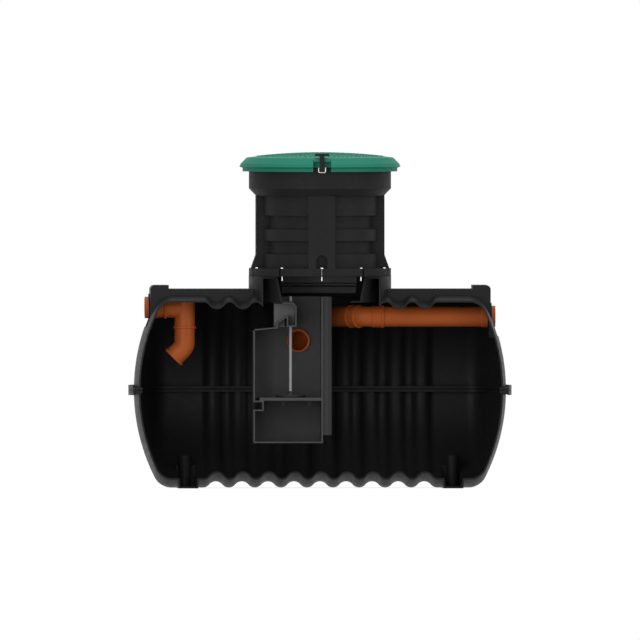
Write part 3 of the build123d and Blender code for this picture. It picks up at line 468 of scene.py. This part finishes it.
def repeat_round(piece, count):
    """Copies a piece round the tank's upright axis and applies the copies."""
    centre = (0, AXIS_Y, 0)
    turn = bpy.data.objects.new("turn", None)
    bpy.context.scene.collection.objects.link(turn)
    turn.location = centre
    turn.rotation_euler = (0, 0, 2 * pi / count)
    bpy.context.scene.cursor.location = centre
    activate(piece)
    bpy.ops.object.origin_set(type="ORIGIN_CURSOR")
    array = piece.modifiers.new("Round", "ARRAY")
    array.use_relative_offset = False
    array.use_object_offset = True
    array.offset_object = turn
    array.count = count
    bpy.context.view_layer.update()
    apply_modifiers(piece)
    bpy.data.objects.remove(turn)
    return piece


def outward(piece):
    """Merges doubled points and turns the faces outwards."""
    activate(piece)
    bpy.ops.object.mode_set(mode="EDIT")
    bpy.ops.mesh.select_all(action="SELECT")
    bpy.ops.mesh.remove_doubles(threshold=0.05 * MM)
    bpy.ops.mesh.normals_make_consistent(inside=False)
    leave_edit()


def thicken(piece, thickness, offset):
    """Gives an open surface a wall; offset -1 is inwards and 0 to both sides."""
    wall = piece.modifiers.new("Wall", "SOLIDIFY")
    wall.thickness = thickness
    wall.offset = offset
    wall.use_even_offset = True
    apply_modifiers(piece)


def carve(piece, cutter, keep):
    """Cuts a piece by a second solid, or keeps only what is inside it, and removes the second."""
    cut = piece.modifiers.new("Cut", "BOOLEAN")
    cut.operation = "INTERSECT" if keep else "DIFFERENCE"
    cut.object = cutter
    cut.solver = "EXACT"
    bpy.context.view_layer.update()
    apply_modifiers(piece)
    bpy.data.objects.remove(cutter)


def eased_block(name, low, high, ease):
    """Block between two corners in millimetres from the tank's axis plane, with its edges eased."""
    low, high = at(*low), at(*high)
    clear_selection()
    bpy.ops.mesh.primitive_cube_add(size=1, location=(low + high) / 2, scale=high - low)
    piece = settle(bpy.context.object, name)
    if ease:
        bpy.ops.object.mode_set(mode="EDIT")
        bpy.ops.mesh.select_all(action="SELECT")
        bpy.ops.mesh.bevel(offset=ease * MM, segments=2)
        leave_edit()
    return piece


def at(x, y, z):
    """Place in the frame from millimetres along, behind the tank's axis plane and up."""
    return Vector((x * MM, y * MM + AXIS_Y, z * MM))


class PipeRun:
    """Pipe or wire grown ring by ring from an open circle; lengths in millimetres."""

    def __init__(self, place, heading, radius, sides=48):
        self.place, self.heading, self.radius = at(*place), Vector(heading).normalized(), radius
        clear_selection()
        bpy.ops.mesh.primitive_circle_add(vertices=sides, radius=radius * MM, location=self.place,
                                          rotation=self.heading.to_track_quat("Z", "Y").to_euler())
        self.piece = settle(bpy.context.object, "run")
        bpy.ops.object.mode_set(mode="EDIT")
        bpy.ops.mesh.select_mode(type="EDGE")
        bpy.ops.mesh.select_all(action="SELECT")

    def reach(self, distance, radius=None):
        """Extrudes the open end forward, to another radius where one is given."""
        step = self.heading * distance * MM
        bpy.ops.mesh.extrude_region_move(TRANSFORM_OT_translate={"value": step})
        self.place = self.place + step
        if radius:
            share = radius / self.radius
            bpy.ops.transform.resize(value=(share, share, share), center_override=self.place)
            self.radius = radius

    def bead(self, width, radius):
        """Raised ring with eased edges."""
        plain, flank = self.radius, 1.0
        self.reach(flank, radius - LIP)
        self.reach(LIP, radius)
        self.reach(width - 2 * (flank + LIP))
        self.reach(LIP, radius - LIP)
        self.reach(flank, plain)

    def turn(self, heading, bend_radius):
        """Spins the open end round to a new heading."""
        heading = Vector(heading).normalized()
        axis = self.heading.cross(heading).normalized()
        angle = self.heading.angle(heading)
        centre = self.place + axis.cross(self.heading) * bend_radius * MM
        steps = max(4, round(angle / radians(BEND_STEP)))
        bpy.ops.mesh.spin(steps=steps, angle=-angle, center=centre, axis=axis)
        self.place = centre + Quaternion(axis, angle) @ (self.place - centre)
        self.heading = heading

    def finish(self, name, wall=0.0):
        """Closed wall of the given thickness, or a solid bar with filled ends."""
        if not wall:
            bpy.ops.mesh.select_all(action="DESELECT")
            bpy.ops.mesh.select_non_manifold()
            bpy.ops.mesh.edge_face_add()
        outward(self.piece)
        if wall:
            thicken(self.piece, wall * MM, -1)
        return settle(self.piece, name)


def fold_sheet(name, corners):
    """Sheet folded along corners of (x, z), from the unit's front to its back, with eased edges."""
    depth = (BACK_Y - FRONT_Y) * MM
    first = at(corners[0][0], (FRONT_Y + BACK_Y) / 2, corners[0][1])
    clear_selection()
    bpy.ops.mesh.primitive_plane_add(size=depth, location=first + Vector((depth / 2, 0, 0)))
    sheet = settle(bpy.context.object, name)
    pick("EDGE", lambda start, end: max(start.x, end.x) > first.x + depth / 2)
    bpy.ops.mesh.delete(type="EDGE")
    bpy.ops.mesh.select_all(action="SELECT")
    for (x, z), (next_x, next_z) in zip(corners, corners[1:]):
        step = ((next_x - x) * MM, 0, (next_z - z) * MM)
        bpy.ops.mesh.extrude_region_move(TRANSFORM_OT_translate={"value": step})
    leave_edit()
    thicken(sheet, SHEET * MM, 0)
    ease = sheet.modifiers.new("Ease", "BEVEL")
    ease.width = SHEET_EASE * MM
    ease.segments = 2
    apply_modifiers(sheet)
    outward(sheet)
    return sheet


def spun_band(inner, outer, low, high, start, sweep, ease):
    """Band between two radii in millimetres, spun round the tank's upright axis by angles in degrees."""
    angle, middle = radians(start), (inner + outer) / 2
    place = at(middle * cos(angle), middle * sin(angle), (low + high) / 2)
    clear_selection()
    bpy.ops.mesh.primitive_plane_add(size=1, rotation=(pi / 2, 0, angle), location=place)
    section = bpy.context.object
    section.scale = ((outer - inner) * MM, (high - low) * MM, 1)
    settle(section, "band")
    bpy.ops.object.mode_set(mode="EDIT")
    bpy.ops.mesh.select_all(action="SELECT")
    if ease:
        bpy.ops.mesh.bevel(offset=ease * MM, segments=3, affect="VERTICES")
    bpy.ops.mesh.spin(steps=round(sweep / BAND_STEP), angle=-radians(sweep), center=at(0, 0, 0),
                      axis=(0, 0, 1))
    leave_edit()
    outward(section)
    return section


def finish_piece(piece, material, body, replaced=()):
    """Gives a new piece its finish, slot and body."""
    piece.data.materials.clear()
    piece.data.materials.append(material)
    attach(piece, body)
    if replaced:
        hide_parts(*replaced)


# Pieces

class SEPTIC_OT_shell_finish(Operator):
    """Finish the half shells, floor posts, riser and neck"""
    bl_idname = "septic.shell_finish"
    bl_label = "Shell Finish"

    def execute(self, context):
        colours = context.scene.tank_colours
        coat_nodes(["lower_shell", "lower_left_end", "lower_right_end", "upper_shell", "upper_left_end",
                    "upper_right_end", "neck", "floor_post_left", "floor_post_right"], shell_black(colours))
        coat_nodes(["riser", "neck_funnel"], riser_black(colours))
        return {"FINISHED"}


class SEPTIC_OT_riser_slots(Operator):
    """Open a round-ended slot in the riser's flange at every screw and close the wall at its steps"""
    bl_idname = "septic.riser_slots"
    bl_label = "Riser Slots"

    def execute(self, context):
        sizes = context.scene.screw_sizes
        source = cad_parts["riser"]
        riser = bpy.data.objects.new("riser_slotted", source.data.copy())
        bpy.context.scene.collection.objects.link(riser)
        activate(riser)
        bpy.ops.mesh.customdata_custom_splitnormals_clear()
        outward(riser)
        seat = SCREWS_HIGH.z / MM - SCREW_HEAD
        circle, half = sizes.circle / MM, SLOT_WIDTH / 2
        cutter = eased_block("slot", (-half, -circle - SLOT_REACH, seat - SLOT_DEPTH),
                             (half, half - circle, seat + SLOT_RISE), 0)
        inner = at(0, half - circle, 0).y
        pick("EDGE", lambda start, end: abs(start.z - end.z) > NEAR and abs(start.y - inner) < NEAR)
        bpy.ops.mesh.bevel(offset=half * SLOT_ROUNDING * MM, segments=6)
        leave_edit()
        repeat_round(cutter, sizes.count)
        carve(riser, cutter, keep=False)
        riser = join([riser, *self.step_walls()], "riser_slotted")
        smooth(riser)
        finish_piece(riser, riser_black(context.scene.tank_colours), "tank", ["riser"])
        return {"FINISHED"}

    def step_walls(self):
        """Wall at each step between the riser's bands and waists, from rib to rib."""
        walls = []
        for height, side in zip(STEP_HEIGHTS, (1, -1, 1, -1)):
            for outer, reach in ((BAND_OUTER, BAND_REACH), (WAIST_OUTER, WAIST_REACH)):
                low, high = sorted((height - STEP_DEPTH * side, height + reach * side))
                wall = spun_band(STEP_INNER, outer, low, high, RIB_EDGE, RIB_GAP, 0)
                walls.append(repeat_round(wall, 4))
        return walls


class SEPTIC_OT_funnel_bands(Operator):
    """Model the three pale bands round the back of the funnel's inner wall, as painted light on the black
    plastic
    """
    bl_idname = "septic.funnel_bands"
    bl_label = "Funnel Bands"

    def execute(self, context):
        bands = [spun_band(*band, FUNNEL_START, FUNNEL_SWEEP, FUNNEL_EASE) for band in FUNNEL_BANDS]
        piece = join(bands, "funnel_bands")
        smooth(piece)
        # The bands' pale grey is painted light on the funnel's black wall.
        finish_piece(piece, painted_light_grey(context.scene.tank_colours), "tank")
        return {"FINISHED"}


class SEPTIC_OT_seal_finish(Operator):
    """Finish the rubber seals and gaskets"""
    bl_idname = "septic.seal_finish"
    bl_label = "Seal Finish"

    def execute(self, context):
        coat_nodes(["joint_seal", "neck_gasket", "inlet_seal", "outlet_seal", "valve_seal"],
                   seal_rubber(context.scene.tank_colours))
        return {"FINISHED"}


class SEPTIC_OT_pipe_finish(Operator):
    """Finish the inlet and outlet pipework"""
    bl_idname = "septic.pipe_finish"
    bl_label = "Pipe Finish"

    def execute(self, context):
        colours = context.scene.tank_colours
        along = pipe_orange(colours, "x")
        coat_nodes(["outlet_pipe", "outlet_bend", "unit_connector", "inlet_socket", "outlet_socket"], along)
        coat_nodes(["inlet_tee", "inlet_dip"], pipe_orange(colours, "z"))
        finish_piece(self.outlet_line(), along, "tank", ["outlet_bend", "unit_connector"])
        return {"FINISHED"}

    def outlet_line(self):
        """Line from the outlet pipe: level, round behind the unit, down and into its back wall."""
        start_x, level = PIPE_LOW.x / MM - PIPE_GAP, (PIPE_LOW.z + PIPE_HIGH.z) / 2 / MM
        first, rear, behind = (Vector((x, y, level - drop)) for x, y, drop in ROUTE)
        back, down = rear - first, behind - rear
        first_tangent = FIRST_BEND * tan(Vector((-1, 0, 0)).angle(back) / 2)
        rear_tangent = DROP_BEND * tan(back.angle(down) / 2)
        run = PipeRun((start_x, 0, level), (-1, 0, 0), PIPE_BEAD - LIP)
        for distance, radius in SOCKET:
            run.reach(distance, radius)
        run.reach(start_x - sum(distance for distance, radius in SOCKET) - first.x - first_tangent)
        run.turn(back, FIRST_BEND)
        run.bead(BEAD_WIDTH, PIPE_BEAD)
        run.reach(BEAD_GAP)
        run.bead(BEAD_WIDTH, PIPE_BEAD)
        run.reach(back.length - first_tangent - rear_tangent - 2 * BEAD_WIDTH - BEAD_GAP)
        run.turn(down, DROP_BEND)
        run.reach(down.length - rear_tangent - DROP_BEND)
        run.turn((0, -1, 0), DROP_BEND)
        run.reach(CONNECTOR_NECK)
        run.reach(LIP, PIPE_BEAD)
        run.reach(CONNECTOR_COLLAR)
        return run.finish("outlet_line", PIPE_WALL)


class SEPTIC_OT_unit_finish(Operator):
    """Finish the grey clarifying unit and its valve"""
    bl_idname = "septic.unit_finish"
    bl_label = "Unit Finish"

    def execute(self, context):
        colours = context.scene.tank_colours
        grey = unit_grey(colours)
        coat_nodes(["unit_housing", "side_duct", "unit_hood", "unit_cover", "divider_plate"], grey)
        coat_nodes(["valve_rod"], rod_grey(colours))
        coat_nodes(["valve_disc"], disc_dark_and_painted_shade(colours))
        finish_piece(self.hood(), grey, "tank", ["unit_hood"])
        finish_piece(self.cover(), grey, "tank", ["unit_cover"])
        # The hood panel takes the paler grey: painted light on the unit's grey plastic.
        finish_piece(self.front_panel(), painted_light_grey(colours), "tank")
        # The pads take the disc's dark colour as painted shade under the plate.
        finish_piece(self.plate_pads(), disc_dark_and_painted_shade(colours), "tank")
        return {"FINISHED"}

    def hood(self):
        """Sheet folded round the pull rod, hung under the funnel's ledge, with the rod's two holes."""
        top = HOOD_HIGH.z / MM - SHEET / 2
        corners = [(HOOD_LIP, HOOD_LOW_EDGE), (HOOD_RIGHT, HOOD_LOW_EDGE), (HOOD_RIGHT, top - HOOD_SLOPE),
                   (HOOD_SHOULDER, top), (HOOD_LEFT, top)]
        hood = fold_sheet("hood_sheet", corners)
        clear_selection()
        bpy.ops.mesh.primitive_cylinder_add(vertices=32, radius=ROD_HOLE * MM, depth=ROD_HOLE_REACH * MM,
                                            location=at(ROD_X, ROD_Y, ROD_HOLE_MIDDLE))
        carve(hood, bpy.context.object, keep=False)
        return hood

    def cover(self):
        """Sheet folded from the housing's left wall up over a channel to the hood, round at the back."""
        cover = fold_sheet("cover_sheet", COVER_FOLDS)
        inside = eased_block("inside", *COVER_TRIM, 0)
        left, back = inside.bound_box[0][0], at(0, BACK_Y, 0).y
        pick("EDGE", lambda start, end: max(abs(start.x - left), abs(end.x - left),
                                            abs(start.y - back), abs(end.y - back)) < NEAR)
        bpy.ops.mesh.bevel(offset=COVER_CORNER * MM, segments=12)
        leave_edit()
        carve(cover, inside, keep=True)
        return cover

    def front_panel(self):
        """Panel that closes the hood and the channel in front of the rod, with an upright slot."""
        panel = eased_block("hood_panel", *PANEL, PANEL_EASE)
        carve(panel, eased_block("slot", *PANEL_SLOT, 0), keep=False)
        return panel

    def plate_pads(self):
        """Two pads under the divider plate, which get a dark colour as painted shade."""
        low, high = PLATE_LOW.z / MM - PAD_HEIGHT, PLATE_LOW.z / MM
        pads = [eased_block("pad", (left, PAD_FRONT, low), (right, PAD_BACK, high), PAD_EASE)
                for left, right in PAD_SIDES]
        return join(pads, "plate_pads")


class SEPTIC_OT_lid_studs(Operator):
    """Finish the lid and cover its dome with rings of anti-slip studs"""
    bl_idname = "septic.lid_studs"
    bl_label = "Lid Studs"

    def execute(self, context):
        sizes = context.scene.lid_sizes
        green = lid_green(context.scene.tank_colours)
        coat_nodes(["lid"], green)
        rings = [self.ring(sizes, index * sizes.stud_pitch)
                 for index in range(1, int(sizes.dome_edge / sizes.stud_pitch))]
        studs = join(rings, "lid_studs")
        smooth(studs)
        finish_piece(studs, green, "lid")
        return {"FINISHED"}

    def ring(self, sizes, radius):
        """One ring of studs standing on the dome."""
        rise = sqrt(sizes.dome_radius ** 2 - radius ** 2) - sizes.dome_radius
        foot = LID_HIGH.z + rise
        clear_selection()
        bpy.ops.mesh.primitive_cone_add(vertices=8, radius1=sizes.stud_radius, end_fill_type="NGON",
                                        radius2=sizes.stud_radius * STUD_TAPER, depth=sizes.stud_height,
                                        location=(radius, AXIS_Y, foot + sizes.stud_height / 2),
                                        rotation=(0, asin(radius / sizes.dome_radius), 0))
        stud = bpy.context.object
        pick("EDGE", lambda start, end: start.z > 0 and end.z > 0)
        bpy.ops.mesh.bevel(offset=sizes.stud_height / 4, segments=1)
        leave_edit()
        settle(stud, "stud")
        count = max(6, round(2 * pi * radius / sizes.stud_pitch))
        return repeat_round(stud, count)


class SEPTIC_OT_flange_screws(Operator):
    """Model the stainless flange screws with hexagon heads and threads"""
    bl_idname = "septic.flange_screws"
    bl_label = "Flange Screws"

    def execute(self, context):
        sizes = context.scene.screw_sizes
        seat, foot = SCREWS_HIGH.z - SCREW_HEAD * MM, SCREWS_LOW.z
        washer_top = seat + WASHER_HEIGHT * MM
        front = (0, AXIS_Y - sizes.circle)
        washer = self.bar(front, 24, sizes.washer, seat, washer_top)
        head = self.bar(front, 6, sizes.head, washer_top, seat + SCREW_HEAD * MM)
        pick("EDGE", lambda start, end: start.z > 0 and end.z > 0)
        bpy.ops.mesh.bevel(offset=HEAD_EASE * MM, segments=2)
        leave_edit()
        shank = self.bar(front, 14, sizes.shank * CORE_SHARE, foot, seat)
        thread = self.thread(sizes, front, foot)
        screw = join([washer, head, shank, thread], "flange_screw_set")
        repeat_round(screw, sizes.count)
        settle(screw, "flange_screw_set")
        smooth(screw)
        finish_piece(screw, stainless(context.scene.tank_colours), "tank", ["flange_screws"])
        return {"FINISHED"}

    def bar(self, front, sides, radius, low, high):
        """Upright bar of the screw at the flange's front."""
        clear_selection()
        bpy.ops.mesh.primitive_cylinder_add(vertices=sides, radius=radius, depth=high - low,
                                            location=(*front, (low + high) / 2))
        return bpy.context.object

    def thread(self, sizes, front, low):
        """Stack of thread ridges at the lower end of a shank."""
        pitch = THREAD_PITCH * MM
        crest, flank = pitch * 0.15, pitch * 0.25
        ridge = self.bar(front, 14, sizes.shank, low + pitch - crest, low + pitch + crest)
        pick("FACE", lambda middle, normal: abs(normal.z) > 0.9)
        bpy.ops.mesh.extrude_region_shrink_fatten(TRANSFORM_OT_shrink_fatten={"value": flank})
        bpy.ops.transform.resize(value=(FLANK_SHARE, FLANK_SHARE, 1), center_override=(*front, 0))
        leave_edit()
        array = ridge.modifiers.new("Turns", "ARRAY")
        array.use_relative_offset = False
        array.use_constant_offset = True
        array.constant_offset_displace = (0, 0, pitch)
        array.count = THREAD_TURNS
        apply_modifiers(ridge)
        return ridge


class SEPTIC_OT_latch_finish(Operator):
    """Finish the strap latch and its wire bail"""
    bl_idname = "septic.latch_finish"
    bl_label = "Latch Finish"

    def execute(self, context):
        colours = context.scene.tank_colours
        coat_nodes(["lid_latch"], riser_black(colours))
        steel = stainless(colours)
        coat_nodes(["latch_bail"], steel)
        finish_piece(self.bail(), steel, "lid", ["latch_bail"])
        return {"FINISHED"}

    def bail(self):
        """Wire bent to a U round the foot of the strap."""
        middle_y = (BAIL_LOW.y + BAIL_HIGH.y - 2 * AXIS_Y) / 2 / MM
        top, low = BAIL_HIGH.z / MM, BAIL_LOW.z / MM + WIRE
        run = PipeRun((-WIRE_SIDE, middle_y, top), (0, 0, -1), WIRE, sides=16)
        run.reach(top - low - WIRE_BEND)
        run.turn((1, 0, 0), WIRE_BEND)
        run.reach(2 * (WIRE_SIDE - WIRE_BEND))
        run.turn((0, 0, 1), WIRE_BEND)
        run.reach(top - low - WIRE_BEND)
        return run.finish("latch_wire")


class SEPTIC_OT_stage(Operator):
    """Set the camera, lamps, world and pale floor"""
    bl_idname = "septic.stage"
    bl_label = "Studio Stage"

    def execute(self, context):
        settings = context.scene.stage_settings
        self.camera(context, settings)
        self.lamps(settings)
        self.world(context, settings)
        self.floor()
        context.scene.view_settings.view_transform = "Standard"
        return {"FINISHED"}

    def camera(self, context, settings):
        """Camera without perspective, in front of the cut side."""
        clear_selection()
        bpy.ops.object.camera_add()
        camera = context.object
        camera.name = "camera"
        turn, rise = settings.azimuth, settings.elevation
        back = Vector((sin(turn) * cos(rise), -cos(turn) * cos(rise), sin(rise)))
        camera.location = Vector((settings.aim_x, AXIS_Y, settings.aim_z)) + back * CAMERA_DISTANCE
        camera.rotation_mode = "QUATERNION"
        camera.rotation_quaternion = (-back).to_track_quat("-Z", "Y")
        camera.data.type = "ORTHO"
        camera.data.ortho_scale = settings.view_width
        context.scene.camera = camera

    def lamps(self, settings):
        """Square lamps overhead, in front and at the right, each given as place, aim, size and power."""
        places = [("key", (0.0, -0.6, 4.2), (0, 0, 0.6), 4.5, settings.key_power),
                  ("front", (-2.4, -5.0, 1.2), (0, 0, 0.8), 4.0, settings.fill_power),
                  ("side", (3.6, -3.6, 2.0), (0, 0, 0.8), 2.5, settings.fill_power * LAMP_SIDE_SHARE)]
        for name, place, aim, size, power in places:
            clear_selection()
            bpy.ops.object.light_add(type="AREA", location=place)
            lamp = bpy.context.object
            lamp.name = name + "_lamp"
            lamp.rotation_mode = "QUATERNION"
            lamp.rotation_quaternion = (Vector(aim) - Vector(place)).to_track_quat("-Z", "Y")
            lamp.data.shape = "SQUARE"
            lamp.data.size = size
            lamp.data.energy = power

    def world(self, context, settings):
        """Light from all round, which the camera and reflections see as white."""
        world = context.scene.world or bpy.data.worlds.new("studio")
        context.scene.world = world
        world.use_nodes = True
        tree = world.node_tree
        tree.nodes.clear()
        out = tree.nodes.new("ShaderNodeOutputWorld")
        sky = node(tree, "ShaderNodeBackground", Strength=settings.ambient)
        sky.inputs["Color"].default_value = (1, 1, 1, 1)
        white = node(tree, "ShaderNodeBackground", Strength=1.0)
        white.inputs["Color"].default_value = (1, 1, 1, 1)
        mix = tree.nodes.new("ShaderNodeMixShader")
        link(tree, seen_rays(tree), mix.inputs["Fac"])
        link(tree, sky.outputs["Background"], mix.inputs[1])
        link(tree, white.outputs["Background"], mix.inputs[2])
        link(tree, mix.outputs["Shader"], out.inputs["Surface"])

    def floor(self):
        """White floor that keeps a soft shadow."""
        clear_selection()
        bpy.ops.mesh.primitive_plane_add(size=FLOOR_SIZE, location=(0, 0, FLOOR_HEIGHT))
        floor = bpy.context.object
        floor.name = "floor"
        material = bpy.data.materials.new("floor_white")
        material.use_nodes = True
        tree = material.node_tree
        tree.nodes.clear()
        out = tree.nodes.new("ShaderNodeOutputMaterial")
        matt = tree.nodes.new("ShaderNodeBsdfDiffuse")
        matt.inputs["Color"].default_value = (FLOOR_TONE, FLOOR_TONE, FLOOR_TONE, 1)
        glow = node(tree, "ShaderNodeEmission")
        share = node(tree, "ShaderNodeMath")
        share.operation = "MULTIPLY"
        share.inputs[1].default_value = FLOOR_GLOW
        link(tree, seen_rays(tree), share.inputs[0])
        link(tree, share.outputs[0], glow.inputs["Strength"])
        add = tree.nodes.new("ShaderNodeAddShader")
        link(tree, matt.outputs["BSDF"], add.inputs[0])
        link(tree, glow.outputs["Emission"], add.inputs[1])
        link(tree, add.outputs["Shader"], out.inputs["Surface"])
        floor.data.materials.append(material)


def seen_rays(tree):
    """1 for rays of the camera, reflections and transmission, and 0 for light."""
    path = tree.nodes.new("ShaderNodeLightPath")
    first = node(tree, "ShaderNodeMath")
    first.operation = "MAXIMUM"
    second = node(tree, "ShaderNodeMath")
    second.operation = "MAXIMUM"
    link(tree, path.outputs["Is Camera Ray"], first.inputs[0])
    link(tree, path.outputs["Is Glossy Ray"], first.inputs[1])
    link(tree, first.outputs[0], second.inputs[0])
    link(tree, path.outputs["Is Transmission Ray"], second.inputs[1])
    return second.outputs[0]


class SEPTIC_PT_sidebar(Panel):
    """Lists the steps that dress the tank"""
    bl_idname = "SEPTIC_PT_sidebar"
    bl_label = "Septic Tank"
    bl_space_type = "VIEW_3D"
    bl_region_type = "UI"
    bl_category = "Septic Tank"

    def draw(self, context):
        for step in STEPS:
            self.layout.operator(step.bl_idname)
        for name in SETTINGS:
            group = getattr(context.scene, name)
            box = self.layout.box()
            for key in group.__annotations__:
                box.prop(group, key)


STEPS = (SEPTIC_OT_shell_finish, SEPTIC_OT_riser_slots, SEPTIC_OT_funnel_bands,
         SEPTIC_OT_seal_finish, SEPTIC_OT_pipe_finish, SEPTIC_OT_unit_finish,
         SEPTIC_OT_lid_studs, SEPTIC_OT_flange_screws, SEPTIC_OT_latch_finish, SEPTIC_OT_stage)
SETTINGS = {"tank_colours": TankColours, "lid_sizes": LidSizes, "screw_sizes": ScrewSizes,
            "stage_settings": StageSettings}


def register():
    """Adds the settings, steps and sidebar to Blender."""
    for kind in (*SETTINGS.values(), *STEPS, SEPTIC_PT_sidebar):
        bpy.utils.register_class(kind)
    for name, kind in SETTINGS.items():
        setattr(bpy.types.Scene, name, PointerProperty(type=kind))


def unregister():
    """Takes them out again."""
    for name in SETTINGS:
        delattr(bpy.types.Scene, name)
    for kind in (SEPTIC_PT_sidebar, *reversed(STEPS), *reversed(SETTINGS.values())):
        bpy.utils.unregister_class(kind)


def main():
    """Runs every step in order."""
    register()
    for step in STEPS:
        group, name = step.bl_idname.split(".")
        getattr(getattr(bpy.ops, group), name)()


if __name__ == "__main__":
    main()
